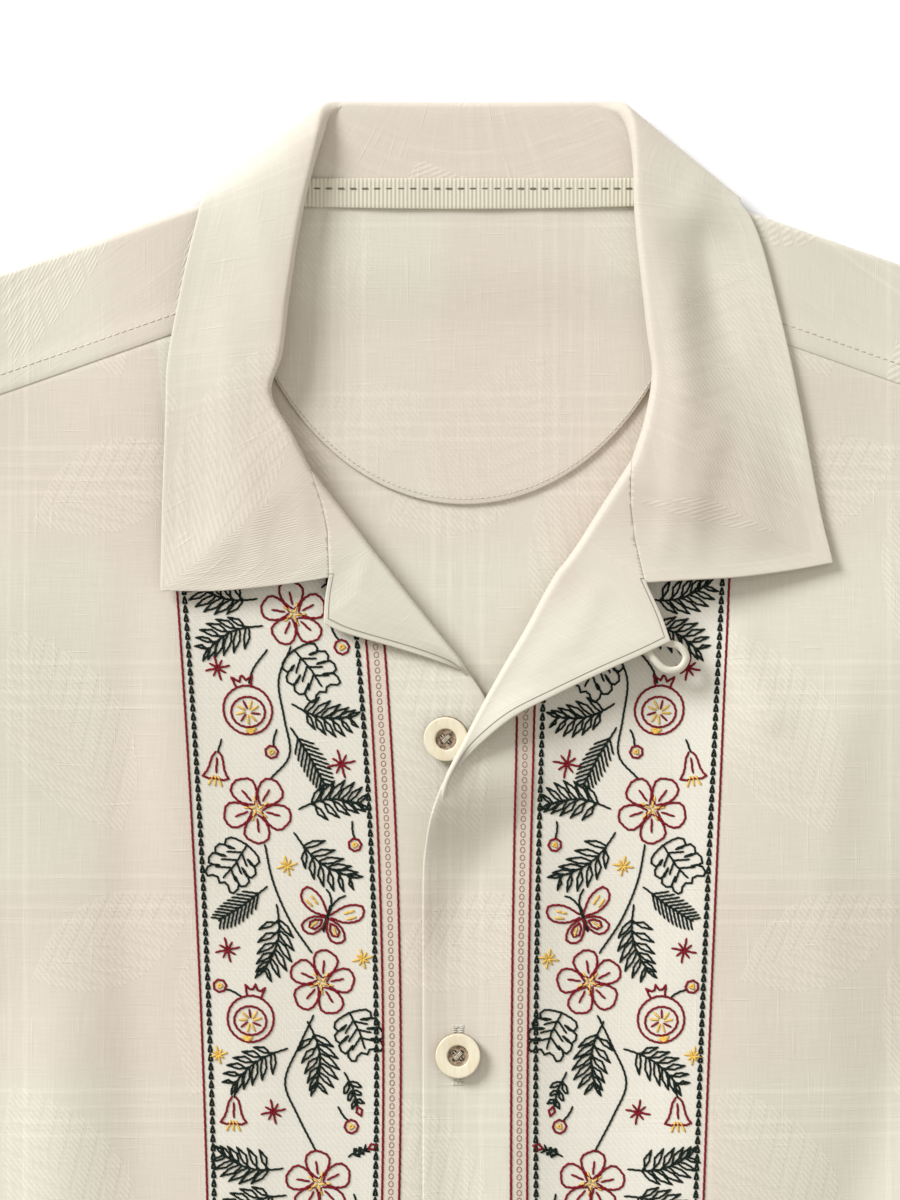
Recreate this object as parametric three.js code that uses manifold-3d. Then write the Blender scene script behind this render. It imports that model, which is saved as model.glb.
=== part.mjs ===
// A short-sleeved silk camp shirt with an open notched collar, laid flat on its back.
// Millimetres. X runs across the shirt, Y from hem to collar, Z up from the surface it lies on.
// Sizes along Y are taken from the shoulder's neck point (y = 0); the last lines centre the shirt.
import * as THREE from "three";
import { mergeVertices } from "three/addons/utils/BufferGeometryUtils.js";
import Module from "manifold-3d";

const wasm = await Module();
wasm.setup();

// ---- driving sizes ---------------------------------------------------------------------------
const LENGTH = 760;              // shoulder neck point to hem
const HALF_CHEST = 305;          // side seam from the centre line
const HALF_SHOULDER = 262;       // armhole seam at the shoulder fold
const SHOULDER_SLOPE = 0.345;    // drop of the shoulder fold for each mm outwards
const SHOULDER_START = 87;       // where the shoulder fold crosses y = 0
const UNDERARM_Y = -300;
const ARMHOLE_SPARE = 1.5;       // panels are made this much wider, then cut along the armhole
const YOKE_DROP = 39.7;          // the back comes over the shoulder this far to the front seam
const SLEEVE_TOP = 245;          // sleeve length along its upper fold
const SLEEVE_ANGLE = 33.5;       // degrees below the horizontal
const CUFF_WIDTH = 205;
const COLLAR_BACK_Y = 34;        // back fold of the collar above the neck point
const NECKLINE_Y = 2.7;          // cut edge of the back at the neck
const CLOTH = 1.2;               // wall of one layer of cloth
const COLLAR_CLOTH = 1.4;        // wall of collar and lapels
const SEAM_GAP = 0.3;            // clearance between neighbouring pieces
const STAND_TUCK = 8;            // under layer of a lapel, measured from its roll
const OVERLAP_EDGE = -13.7;      // front edge of the upper front
const UNDERLAP_EDGE = 14;        // front edge of the lower front
const HALF_MOON = { width: 156, depth: 100, shoulder: 74, cloth: 1 };
const TAPE = { left: -56.5, right: 59, bottom: -0.6, top: 8, cloth: 0.8 };
const BUTTON = { radius: 7.5, height: 3, rim: 1.5, well: 0.9, hole: 0.85, holeRing: 1.9 };
const BUTTON_PITCH = 105.7;
const BUTTONS_ON_OVERLAP = 4;
const LOOP_CORD = 2.6;

// ---- small maths -----------------------------------------------------------------------------
const clamp01 = (value) => Math.min(1, Math.max(0, value));
const ramp = (value) => clamp01(value) ** 2 * (3 - 2 * clamp01(value));
const mix = (a, b, k) => a + (b - a) * k;
const radians = (degrees) => (degrees * Math.PI) / 180;
const steps = (count) => Array.from({ length: count + 1 }, (_, i) => i / count);

// ---- the lie of the cloth --------------------------------------------------------------------
// Long soft folds of the fronts and sleeves: ends, half width and height.
const FOLDS = [
  { x0: -133, y0: -235, x1: -142, y1: -560, width: 17, height: 3.2 },
  { x0: -205, y0: -330, x1: -232, y1: -700, width: 26, height: 3.0 },
  { x0: -62, y0: -420, x1: -86, y1: -740, width: 22, height: 2.4 },
  { x0: 168, y0: -190, x1: 118, y1: -420, width: 20, height: 3.4 },
  { x0: 222, y0: -300, x1: 205, y1: -690, width: 26, height: 3.0 },
  { x0: 92, y0: -460, x1: 70, y1: -735, width: 22, height: 2.6 },
  { x0: 232, y0: -118, x1: 186, y1: -232, width: 17, height: 2.4 },
  { x0: -238, y0: -120, x1: -196, y1: -240, width: 17, height: 2.4 },
];

function foldHeight(x, y) {
  let height = 0;
  for (const fold of FOLDS) {
    const dx = fold.x1 - fold.x0;
    const dy = fold.y1 - fold.y0;
    const along = ((x - fold.x0) * dx + (y - fold.y0) * dy) / (dx * dx + dy * dy);
    const aside = Math.abs((x - fold.x0) * dy - (y - fold.y0) * dx) / Math.hypot(dx, dy);
    const end = ramp((along + 0.12) / 0.3) * ramp((1.12 - along) / 0.3);
    height += fold.height * end * Math.exp(-((aside / fold.width) ** 2));
  }
  return height;
}

// The back rises where the collar's fall lies under it.
const backLift = (x, y) => 1.7 * ramp((y + 45) / 27) * ramp((125 - Math.abs(x)) / 30);
// The fronts rise over the facing and the collar's base.
const neckLift = (x, y) => 3.0 * ramp((y + 120) / 65) * ramp((150 - Math.abs(x)) / 50);

// Underside of the lower front, and of the forward strips of the back.
function lowerFrontZ(x, y) {
  const sides = ramp((HALF_CHEST - 6 - Math.abs(x)) / 60);
  const ends = ramp((-70 - y) / 80) * ramp((y + LENGTH - 4) / 60);
  return CLOTH + SEAM_GAP + neckLift(x, y) + (1.6 + foldHeight(x, y)) * sides * ends;
}

// Underside of the upper front: it clears the lower one and stands up along its loose edge.
function upperFrontZ(x, y) {
  const overlap = (CLOTH + SEAM_GAP) * ramp((36 - x) / 20);
  const looseEdge = 3.4 * Math.exp(-(((y + 192) / 40) ** 2)) * ramp((30 - x) / 34);
  return lowerFrontZ(x, y) + overlap + looseEdge;
}

const frontTop = (x, y) => (x < UNDERLAP_EDGE && y > -158 ? lowerFrontZ(x, y) : upperFrontZ(x, y)) + CLOTH;

// ---- outlines --------------------------------------------------------------------------------
const shoulderY = (x) => -SHOULDER_SLOPE * (Math.max(Math.abs(x), 69) - SHOULDER_START);

function armholeX(y) {
  const hollow = 248;
  const waist = -140;
  const upper = (HALF_SHOULDER - hollow) * ((y - waist) / (waist - shoulderY(HALF_SHOULDER))) ** 2;
  const lower = (HALF_CHEST - hollow) * (Math.max(0, waist - y) / (waist - UNDERARM_Y)) ** 2.2;
  return hollow + (y > waist ? upper : lower);
}

const sideX = (y) => (y < UNDERARM_Y ? HALF_CHEST : armholeX(y) + ARMHOLE_SPARE);

function seamEnd() {
  let y = -96;
  for (let pass = 0; pass < 8; pass += 1) {
    y = shoulderY(armholeX(y)) - YOKE_DROP;
  }
  return new THREE.Vector2(armholeX(y), y);
}

// ---- closed solids from grids ----------------------------------------------------------------
function closedMesh(positions, triangles) {
  let volume = 0;
  const at = (i) => new THREE.Vector3().fromArray(positions, i * 3);
  for (let i = 0; i < triangles.length; i += 3) {
    volume += at(triangles[i]).dot(at(triangles[i + 1]).cross(at(triangles[i + 2])));
  }
  const outward = volume > 0 ? triangles : triangles.slice().reverse();
  const geometry = new THREE.BufferGeometry();
  geometry.setAttribute("position", new THREE.Float32BufferAttribute(positions, 3));
  geometry.setIndex(outward);
  return geometry;
}

// Joins two equal grids of points, one on each face of the cloth, into one closed wall.
function skinPair(upper, lower) {
  const rows = upper.length;
  const columns = upper[0].length;
  const positions = [...upper.flat(), ...lower.flat()].flatMap((point) => point.toArray());
  const triangles = [];
  const quad = (a, b, c, d) => triangles.push(a, b, c, a, c, d);
  const up = (i, j) => i * columns + j;
  const down = (i, j) => rows * columns + i * columns + j;
  for (let i = 0; i < rows - 1; i += 1) {
    for (let j = 0; j < columns - 1; j += 1) {
      quad(up(i, j), up(i, j + 1), up(i + 1, j + 1), up(i + 1, j));
      quad(down(i, j), down(i + 1, j), down(i + 1, j + 1), down(i, j + 1));
    }
    quad(up(i, 0), up(i + 1, 0), down(i + 1, 0), down(i, 0));
    quad(up(i, columns - 1), down(i, columns - 1), down(i + 1, columns - 1), up(i + 1, columns - 1));
  }
  for (let j = 0; j < columns - 1; j += 1) {
    quad(up(0, j), down(0, j), down(0, j + 1), up(0, j + 1));
    quad(up(rows - 1, j), up(rows - 1, j + 1), down(rows - 1, j + 1), down(rows - 1, j));
  }
  return closedMesh(positions, triangles);
}

// A wall of even thickness on both sides of a grid of points.
function wall(grid, thickness) {
  const normalAt = (i, j) => {
    const along = grid[Math.min(i + 1, grid.length - 1)][j].clone().sub(grid[Math.max(i - 1, 0)][j]);
    const across = grid[i][Math.min(j + 1, grid[i].length - 1)].clone().sub(grid[i][Math.max(j - 1, 0)]);
    return along.cross(across).normalize();
  };
  const offset = (distance) =>
    grid.map((row, i) => row.map((point, j) => point.clone().addScaledVector(normalAt(i, j), distance)));
  return skinPair(offset(thickness / 2), offset(-thickness / 2));
}

// A wall that lies on the height field `underside`, from a grid of plan points.
function layer(plan, underside, thickness) {
  const lift = (extra) =>
    plan.map((row) => row.map((p) => new THREE.Vector3(p.x, p.y, underside(p.x, p.y) + extra)));
  return skinPair(lift(thickness), lift(0));
}

// ---- joining and cutting ---------------------------------------------------------------------
function toSolid(geometry) {
  const bare = geometry.clone();
  bare.deleteAttribute("normal");
  bare.deleteAttribute("uv");
  const merged = mergeVertices(bare, 1e-4);
  return new wasm.Manifold(new wasm.Mesh({
    numProp: 3,
    vertProperties: new Float32Array(merged.attributes.position.array),
    triVerts: new Uint32Array(merged.index.array),
  }));
}

function toGeometry(solid) {
  const mesh = solid.getMesh();
  const geometry = new THREE.BufferGeometry();
  geometry.setAttribute("position", new THREE.BufferAttribute(new Float32Array(mesh.vertProperties), 3));
  geometry.setIndex(new THREE.BufferAttribute(new Uint32Array(mesh.triVerts), 1));
  return geometry;
}

function prism(outline, bottom, top) {
  const shape = new THREE.Shape(outline.map(([x, y]) => new THREE.Vector2(x, y)));
  const geometry = new THREE.ExtrudeGeometry(shape, { depth: top - bottom, bevelEnabled: false });
  geometry.translate(0, 0, bottom);
  return toSolid(geometry);
}

// The plan of the body between its armholes, grown by `gap` towards the sleeves.
function bodyPrism(gap) {
  const levels = steps(18).map((k) => mix(UNDERARM_Y, shoulderY(HALF_SHOULDER), k));
  const armhole = levels.map((y) => [armholeX(y) + gap, y]);
  const rightOf = [[HALF_CHEST + gap, -LENGTH - 10], ...armhole, [armhole.at(-1)[0], 60]];
  const leftOf = rightOf.map(([x, y]) => [-x, y]).reverse();
  return prism([...rightOf, ...leftOf], -5, 60);
}

// ---- collar and lapels -----------------------------------------------------------------------
// One row for each section across the roll, from the front opening up to the back of the neck:
// fold (fx, fy), free edge (ex, ey), seam to the shirt (bx, by; left out on a lapel), radius of the
// roll, lift of the free edge above the cloth below, and turn: 0 where the fall lies on top of its
// stand, 180 where it lies under it at the back.
const RIGHT_SIDE = [
  { fx: -1.3, fy: -152.3, ex: -3.6, ey: -154.2, radius: 1.2, lift: 0.4, turn: 0 },
  { fx: -6.4, fy: -146, ex: -12.6, ey: -151, radius: 1.3, lift: 0.8, turn: 0 },
  { fx: -12, fy: -139, ex: -22.9, ey: -147.8, radius: 1.5, lift: 1.4, turn: 0 },
  { fx: -20.8, fy: -128, ex: -39.4, ey: -143, radius: 1.8, lift: 1.8, turn: 0 },
  { fx: -25, fy: -122.5, ex: -46.7, ey: -139.7, radius: 2, lift: 1.8, turn: 0 },
  { fx: -28.4, fy: -118.3, ex: -46.2, ey: -131.8, radius: 2.1, lift: 2, turn: 0 },
  { fx: -31, fy: -115, ex: -45, ey: -124.5, radius: 2.2, lift: 2.6, turn: 0 },
  { fx: -35.8, fy: -108.6, ex: -60.5, ey: -126.9, radius: 2.3, lift: 1.8, turn: 0 },
  { fx: -43, fy: -99.3, ex: -81.2, ey: -128.9, radius: 2.4, lift: 1.6, turn: 0 },
  { fx: -51.3, fy: -88.7, ex: -101, ey: -129, bx: -59.5, by: -94, radius: 2.5, lift: 1.4, turn: 0 },
  { fx: -57.5, fy: -76.5, ex: -100.3, ey: -98, bx: -69, by: -80, radius: 2.5, lift: 1.2, turn: 0 },
  { fx: -64.3, fy: -63.3, ex: -99.2, ey: -72, bx: -77, by: -64, radius: 2.2, lift: 1, turn: 0 },
  { fx: -60.6, fy: -50, ex: -98.6, ey: -54, bx: -80, by: -47, radius: 2.4, lift: 0.8, turn: 0 },
  { fx: -58.4, fy: -32, ex: -95.7, ey: -37, bx: -80, by: -28, radius: 2.6, lift: 0.7, turn: 0 },
  { fx: -55.6, fy: -13, ex: -92.3, ey: -20.5, bx: -78, by: -12, radius: 2.6, lift: 0.6, turn: 0 },
  { fx: -53, fy: 1, ex: -89.3, ey: -8, bx: -76, by: -3, radius: 2.4, lift: 0.5, turn: 0 },
  { fx: -50, fy: 13.3, ex: -87.4, ey: -1.5, bx: -74.6, by: 4.6, radius: 2.2, lift: 0.5, turn: 14 },
  { fx: -47.3, fy: 24, ex: -86.2, ey: 0, bx: -73.5, by: 7, radius: 1.9, lift: 0.5, turn: 42 },
  { fx: -45.8, fy: 30.7, ex: -86, ey: 0.3, bx: -71, by: 7.4, radius: 1.6, lift: 0.5, turn: 78 },
  { fx: -43.6, fy: 33, ex: -85.8, ey: 0.4, bx: -67.5, by: 7, radius: 1.5, lift: 0, turn: 112 },
  { fx: -41, fy: 33.8, ex: -84.8, ey: 0.8, bx: -62.5, by: 6.2, radius: 1.5, lift: 0, turn: 148 },
  { fx: -37, fy: 34, ex: -81, ey: -4.5, bx: -57, by: 5.2, radius: 1.5, lift: 0, turn: 180 },
  { fx: -25, fy: 34, ex: -52, ey: -12, bx: -41, by: 3.8, radius: 1.5, lift: 0, turn: 180 },
  { fx: -12, fy: 34, ex: -24, ey: -13.6, bx: -19.5, by: 3.3, radius: 1.5, lift: 0, turn: 180 },
];
const LEFT_SIDE = [
  { fx: -4.5, fy: -185, ex: -2, ey: -186, radius: 1.2, lift: 0.6, turn: 0 },
  { fx: 1, fy: -175.3, ex: 5.4, ey: -177.4, radius: 1.4, lift: 1.6, turn: 0 },
  { fx: 6.7, fy: -165, ex: 16.5, ey: -170.3, radius: 1.6, lift: 3.2, turn: 0 },
  { fx: 13, fy: -153.7, ex: 30, ey: -163.3, radius: 1.9, lift: 4.6, turn: 0 },
  { fx: 19.7, fy: -142.3, ex: 44.5, ey: -156.3, radius: 2.2, lift: 5.2, turn: 0 },
  { fx: 26, fy: -130.5, ex: 59.5, ey: -149.6, radius: 2.4, lift: 4.6, turn: 0 },
  { fx: 30.5, fy: -122.8, ex: 67.7, ey: -145.7, radius: 2.5, lift: 4, turn: 0 },
  { fx: 34, fy: -118.5, ex: 64.7, ey: -137.3, radius: 2.6, lift: 3.6, turn: 0 },
  { fx: 38.5, fy: -112, ex: 59.7, ey: -126.3, radius: 2.7, lift: 3.4, turn: 0 },
  { fx: 42.5, fy: -105.5, ex: 72, ey: -125.5, radius: 2.7, lift: 2.8, turn: 0 },
  { fx: 48, fy: -96.8, ex: 90, ey: -124.5, radius: 2.7, lift: 2.4, turn: 0 },
  { fx: 52.4, fy: -90, ex: 107, ey: -122.4, bx: 61, by: -95, radius: 2.7, lift: 2, turn: 0 },
  { fx: 55.4, fy: -85.3, ex: 122.3, ey: -119.7, bx: 65, by: -90, radius: 2.7, lift: 1.8, turn: 0 },
  { fx: 59.6, fy: -72, ex: 118, ey: -102, bx: 74, by: -76, radius: 2.6, lift: 1.4, turn: 0 },
  { fx: 62, fy: -57, ex: 112.6, ey: -74, bx: 80, by: -59, radius: 2.5, lift: 1.2, turn: 0 },
  { fx: 60.3, fy: -43, ex: 107.8, ey: -51, bx: 82, by: -43, radius: 2.6, lift: 1, turn: 0 },
  { fx: 58.7, fy: -28, ex: 103, ey: -31, bx: 82, by: -27, radius: 2.6, lift: 0.8, turn: 0 },
  { fx: 57, fy: -12.7, ex: 98.6, ey: -14.5, bx: 80, by: -12, radius: 2.6, lift: 0.6, turn: 0 },
  { fx: 56, fy: 0.3, ex: 94.6, ey: -4.5, bx: 77.5, by: -3, radius: 2.4, lift: 0.5, turn: 0 },
  { fx: 55.8, fy: 13, ex: 91.6, ey: -1.4, bx: 75.6, by: 4.4, radius: 2.2, lift: 0.5, turn: 14 },
  { fx: 54.6, fy: 25, ex: 90, ey: -0.6, bx: 74.2, by: 7, radius: 1.9, lift: 0.5, turn: 42 },
  { fx: 52, fy: 31.6, ex: 89.6, ey: -0.4, bx: 71.6, by: 7.4, radius: 1.6, lift: 0.5, turn: 78 },
  { fx: 49, fy: 33.2, ex: 89, ey: -0.3, bx: 68, by: 7, radius: 1.5, lift: 0, turn: 112 },
  { fx: 45, fy: 33.8, ex: 87, ey: 0.1, bx: 63, by: 6.2, radius: 1.5, lift: 0, turn: 148 },
  { fx: 40, fy: 34, ex: 82.5, ey: -4.5, bx: 57, by: 5.2, radius: 1.5, lift: 0, turn: 180 },
  { fx: 26, fy: 34, ex: 52, ey: -12, bx: 41, by: 3.8, radius: 1.5, lift: 0, turn: 180 },
  { fx: 12, fy: 34, ex: 24, ey: -13.6, bx: 19.5, by: 3.3, radius: 1.5, lift: 0, turn: 180 },
];
const BACK_CENTRE = { fx: 0, fy: COLLAR_BACK_Y, ex: 0, ey: -14, bx: 0, by: 3.2, radius: 1.5, lift: 0, turn: 180 };
const FALL_UNDER_Z = COLLAR_CLOTH / 2;      // the fall under the back lies on the surface
const BASE_BACK_Z = 3.6;                    // the stand's seam at the back of the neck
const CREASE_REACH = 2.6;                   // how far the fall stands out as it turns under

const outwards = (row) => new THREE.Vector2(row.ex - row.fx, row.ey - row.fy).normalize();

function baseOf(row) {
  if (row.bx !== undefined) {
    return new THREE.Vector2(row.bx, row.by);
  }
  return new THREE.Vector2(row.fx, row.fy).addScaledVector(outwards(row), STAND_TUCK);
}

function hermite(start, startSlope, end, endSlope, count) {
  return steps(count).map((k) => {
    const k2 = k * k;
    const k3 = k2 * k;
    return new THREE.Vector3()
      .addScaledVector(start, 2 * k3 - 3 * k2 + 1)
      .addScaledVector(startSlope, k3 - 2 * k2 + k)
      .addScaledVector(end, -2 * k3 + 3 * k2)
      .addScaledVector(endSlope, k3 - k2);
  });
}

// The curve of one section: seam, stand, roll and fall, through the middle of the cloth.
function rollSection(row, side) {
  const o = outwards(row);
  const under = (1 - Math.cos(radians(row.turn))) / 2;
  const out = new THREE.Vector3(o.x, o.y, 0);
  const aside = new THREE.Vector3(o.y * side, -o.x * side, 0);
  const fallSide = new THREE.Vector3(0, 0, Math.cos(radians(row.turn)))
    .addScaledVector(aside, Math.sin(radians(row.turn)));
  const clear = (row.bx === undefined ? 1.6 : 1) * SEAM_GAP + COLLAR_CLOTH / 2;
  const seam = baseOf(row);
  const base = new THREE.Vector3(seam.x, seam.y, mix(frontTop(seam.x, seam.y) + clear, BASE_BACK_Z, under));
  const standRise = row.bx === undefined ? 0 : 0.9;
  const centreZ = mix(frontTop(seam.x, seam.y) + clear + standRise + row.radius, FALL_UNDER_Z + row.radius, under);
  const centre = new THREE.Vector3(row.fx, row.fy, centreZ)
    .addScaledVector(out, row.radius + COLLAR_CLOTH / 2);
  const standEnd = centre.clone().addScaledVector(fallSide, -row.radius);
  const fallStart = centre.clone().addScaledVector(fallSide, row.radius);
  const edge = new THREE.Vector3(
    row.ex, row.ey, mix(frontTop(row.ex, row.ey) + clear + row.lift, FALL_UNDER_Z, under),
  ).addScaledVector(aside, CREASE_REACH * Math.sin(radians(row.turn)));
  const standLength = base.distanceTo(standEnd);
  const fallLength = edge.distanceTo(fallStart);
  const towardsFold = standEnd.clone().sub(base);
  const stand = hermite(base, towardsFold, standEnd, out.clone().multiplyScalar(-standLength), 4);
  const roll = [-60, -30, 0, 30, 60].map((degrees) => centre.clone()
    .addScaledVector(out, -row.radius * Math.cos(radians(degrees)))
    .addScaledVector(fallSide, row.radius * Math.sin(radians(degrees))));
  const fallSlope = out.clone().multiplyScalar(fallLength * 0.8);
  const fall = hermite(fallStart, fallSlope, edge, out.clone().multiplyScalar(fallLength * 0.8), 6);
  return [...stand, ...roll, ...fall];
}

function rolledRing() {
  const grid = [
    ...RIGHT_SIDE.map((row) => rollSection(row, 1)),
    rollSection(BACK_CENTRE, 1),
    ...LEFT_SIDE.slice().reverse().map((row) => rollSection(row, -1)),
  ];
  return toSolid(wall(grid, COLLAR_CLOTH));
}

// Seam between collar and lapel on each side, from inside the neck out to the notch.
const GORGE_RIGHT = [[-44, -82], [-51.3, -88.7], [-47.3, -101.3], [-45.7, -109], [-45.2, -124.4], [-60, -140]];
const GORGE_LEFT = [[47, -79], [55.4, -85.3], [55, -91.3], [55, -100], [56.3, -111.7], [59.5, -125.6], [85, -142]];
const LAPEL_RIGHT_REST = [[-60, -160], [4, -157.8], [2, -140]];
const LAPEL_LEFT_REST = [[85, -195], [-20, -195], [-20, -176], [5, -159], [7, -145]];
const widened = (outline, x, y) => outline.map((point) => [point[0] + x, point[1] + y]);

function collarPieces() {
  const ring = rolledRing();
  const cut = (outline) => prism(outline, -5, 60);
  const right = ring.intersect(cut([...GORGE_RIGHT, ...LAPEL_RIGHT_REST]));
  const left = ring.intersect(cut([...GORGE_LEFT, ...LAPEL_LEFT_REST]));
  const collar = ring
    .subtract(cut([...widened(GORGE_RIGHT, -SEAM_GAP, SEAM_GAP), ...LAPEL_RIGHT_REST]))
    .subtract(cut([...widened(GORGE_LEFT, SEAM_GAP, SEAM_GAP), ...LAPEL_LEFT_REST]));
  return { collar: toGeometry(collar), lapelRight: toGeometry(right), lapelLeft: toGeometry(left) };
}

// ---- body ------------------------------------------------------------------------------------
function backPanel() {
  const columns = [0, 0.07, 0.14, 0.2, 0.26, 0.29, 0.32, 0.36, 0.42, 0.5, 0.62, 0.75, 0.88, 1];
  const across = [...columns.slice(1).reverse().map((u) => -u), ...columns];
  const shoulderSideY = shoulderY(HALF_SHOULDER);
  const grid = [];
  for (const w of [0, 0.15, 0.3, 0.45, 0.58, 0.66, 0.74, 0.82, 0.88, 0.925, 0.94, 0.955, 0.97]) {
    const sideY = mix(-LENGTH, shoulderSideY, w);
    grid.push(across.map((u) => {
      const x = u * sideX(sideY);
      const y = mix(-LENGTH, shoulderY(x), w);
      return new THREE.Vector3(x, y, backLift(x, y) + CLOTH / 2);
    }));
  }
  const foldAt = (u) => {
    const x = u * (HALF_SHOULDER + ARMHOLE_SPARE);
    const y = shoulderY(x);
    const low = backLift(x, y) + CLOTH / 2;
    const high = lowerFrontZ(x, y) + CLOTH / 2;
    return { x, y, low, radius: (high - low) / 2 };
  };
  for (const degrees of [-90, -45, 0, 45, 90]) {
    grid.push(across.map((u) => {
      const { x, y, low, radius } = foldAt(u);
      const reach = radius * (Math.cos(radians(degrees)) - 1) - CLOTH / 2;
      return new THREE.Vector3(x, y + reach, low + radius * (1 + Math.sin(radians(degrees))));
    }));
  }
  const end = seamEnd();
  for (const k of [0.2, 0.5, 1]) {
    grid.push(across.map((u) => {
      const x = u * (mix(HALF_SHOULDER, end.x, k) + ARMHOLE_SPARE);
      const y = shoulderY(x) - YOKE_DROP * k;
      return new THREE.Vector3(x, y, lowerFrontZ(x, y) + CLOTH / 2);
    }));
  }
  const neck = prism([
    [-69, 30], [-69, 0], [-71, -8], [-73, -20], [-73, -60],
    [74, -60], [74, -20], [72, -8], [69, 0], [69, 30],
  ], 3.6, 40);
  const neckEdge = prism([[-69, NECKLINE_Y], [69, NECKLINE_Y], [69, 40], [-69, 40]], -5, 40);
  return toGeometry(toSolid(wall(grid, CLOTH)).subtract(neck).subtract(neckEdge).intersect(bodyPrism(0)));
}

// Inner edge of a front: up the placket, then under the roll of its lapel to the shoulder seam.
function innerEdge(rows, placket, side) {
  const points = placket.map(([x, y]) => new THREE.Vector2(x, y));
  for (const row of rows) {
    const seam = baseOf(row);
    const share = row.bx === undefined ? 0.5 : 0.74;
    const point = new THREE.Vector2(mix(row.fx, seam.x, share), mix(row.fy, seam.y, share));
    if (point.y < -44) {
      points.push(point);
    }
  }
  const x = 73.5 * side;
  points.push(new THREE.Vector2(x, shoulderY(x) - YOKE_DROP - SEAM_GAP));
  return points;
}

function outerEdge(y, side) {
  const seamTop = shoulderY(seamEnd().x + ARMHOLE_SPARE) - YOKE_DROP - SEAM_GAP;
  if (y < UNDERARM_Y) {
    return new THREE.Vector2(side * HALF_CHEST, y);
  }
  const top = Math.min(seamTop, mix(UNDERARM_Y, seamTop, (y - UNDERARM_Y) / (-43 - UNDERARM_Y)));
  return new THREE.Vector2(side * (armholeX(top) + ARMHOLE_SPARE), top);
}

function frontPanel(rows, placket, side, underside) {
  const shares = [0, 0.025, 0.055, 0.09, 0.14, 0.2, 0.28, 0.37, 0.47, 0.6, 0.74, 0.88, 1];
  const plan = innerEdge(rows, placket, side).map((inner) => {
    const outer = outerEdge(inner.y, side);
    return shares.map((k) => inner.clone().lerp(outer, k));
  });
  return toGeometry(toSolid(layer(plan, underside, CLOTH)).intersect(bodyPrism(0)));
}

const placketRows = (x, from) => [-LENGTH, -700, -640, -580, -520, -460, -400, -350, -300, -262, from]
  .map((y) => [x, y]);
const LOWER_PLACKET = [...placketRows(UNDERLAP_EDGE, -228), [UNDERLAP_EDGE, -203], [11, -182], [7, -166.5], [1.2, -157]];
const UPPER_PLACKET = [...placketRows(OVERLAP_EDGE, -228), [-13.4, -217], [-11, -204.7], [-8, -194.7], [-5, -188]];

// ---- neck ------------------------------------------------------------------------------------
function halfMoon() {
  const rings = [0, 0.1, 0.2, 0.3, 0.45, 0.7, 1];
  const top = NECKLINE_Y - 0.2;
  const plan = steps(20).map((k) => rings.map((ring) => {
    const x = HALF_MOON.shoulder * Math.sin(Math.PI * (k - 0.5));
    const bottom = -HALF_MOON.depth * Math.sqrt(1 - (2 * x / HALF_MOON.width) ** 2);
    return new THREE.Vector2(x, mix(top, bottom, ring));
  }));
  return layer(plan, (x, y) => backLift(x, y) + CLOTH + SEAM_GAP, HALF_MOON.cloth);
}

function neckTape() {
  const plan = steps(14).map((k) => [TAPE.bottom, NECKLINE_Y, TAPE.top].map((y) => {
    const x = mix(TAPE.left, TAPE.right, k);
    return new THREE.Vector2(x, y - (y === TAPE.bottom ? 1 - (x / 60) ** 2 : 0));
  }));
  const underside = (x) => 4.65 + 0.45 * ramp((Math.abs(x) - 38) / 16);
  return layer(plan, underside, TAPE.cloth);
}

// ---- sleeves ---------------------------------------------------------------------------------
// A flattened tube: bottom layer on the surface, upper layer on it, soft folds above and below.
function sleeve(side) {
  const angle = radians(SLEEVE_ANGLE);
  const shoulder = new THREE.Vector2(HALF_SHOULDER, shoulderY(HALF_SHOULDER));
  const cuffTop = shoulder.clone().add(new THREE.Vector2(Math.cos(angle), -Math.sin(angle)).multiplyScalar(SLEEVE_TOP));
  const cuffLow = cuffTop.clone().add(new THREE.Vector2(-Math.sin(angle), -Math.cos(angle)).multiplyScalar(CUFF_WIDTH));
  const edgeRadius = CLOTH + SEAM_GAP / 2;
  const armhole = (k) => {
    const y = mix(shoulder.y, UNDERARM_Y, k);
    return new THREE.Vector2(armholeX(y) - ARMHOLE_SPARE, y);
  };
  const spread = [0.03, 0.12, 0.24, 0.38, 0.5, 0.62, 0.76, 0.88, 0.97];
  const folds = (u, k) => 2.4 * Math.exp(-(((k - 0.3 - 0.1 * u) / 0.1) ** 2)) * ramp(u / 0.25)
    + 2 * Math.exp(-(((k - 0.68 + 0.08 * u) / 0.12) ** 2)) * ramp(u / 0.3)
    + 1.4 * ramp(k / 0.2) * ramp((1 - k) / 0.2);
  const ring = (u, inset) => {
    const width = armhole(0).lerp(cuffTop, u).distanceTo(armhole(1).lerp(cuffLow, u));
    const place = (k, z) => {
      const plan = armhole(clamp01(k)).lerp(cuffTop.clone().lerp(cuffLow, k), u);
      return new THREE.Vector3(side * plan.x, plan.y, z);
    };
    const radius = edgeRadius - inset;
    const turn = (centre, from) => [from, from + 45, from + 90, from + 135, from + 180].map((degrees) => place(
      centre + (radius / width) * Math.cos(radians(degrees)),
      edgeRadius + radius * Math.sin(radians(degrees)),
    ));
    const nearEdge = edgeRadius / width;
    const bottom = spread.map((k) => place(k, inset));
    const top = spread.slice().reverse().map((k) => place(k, 2 * edgeRadius - inset + folds(u, k) * ramp(u / 0.08)));
    return [...bottom, ...turn(1 - nearEdge, -90), ...top, ...turn(nearEdge, 90)];
  };
  const along = [0, 0.1, 0.25, 0.42, 0.6, 0.78, 0.92, 1];
  const outer = along.map((u) => ring(u, 0));
  const inner = along.map((u) => ring(u, CLOTH));
  return toGeometry(toSolid(ringWall(outer, inner)).subtract(bodyPrism(SEAM_GAP)));
}

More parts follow.
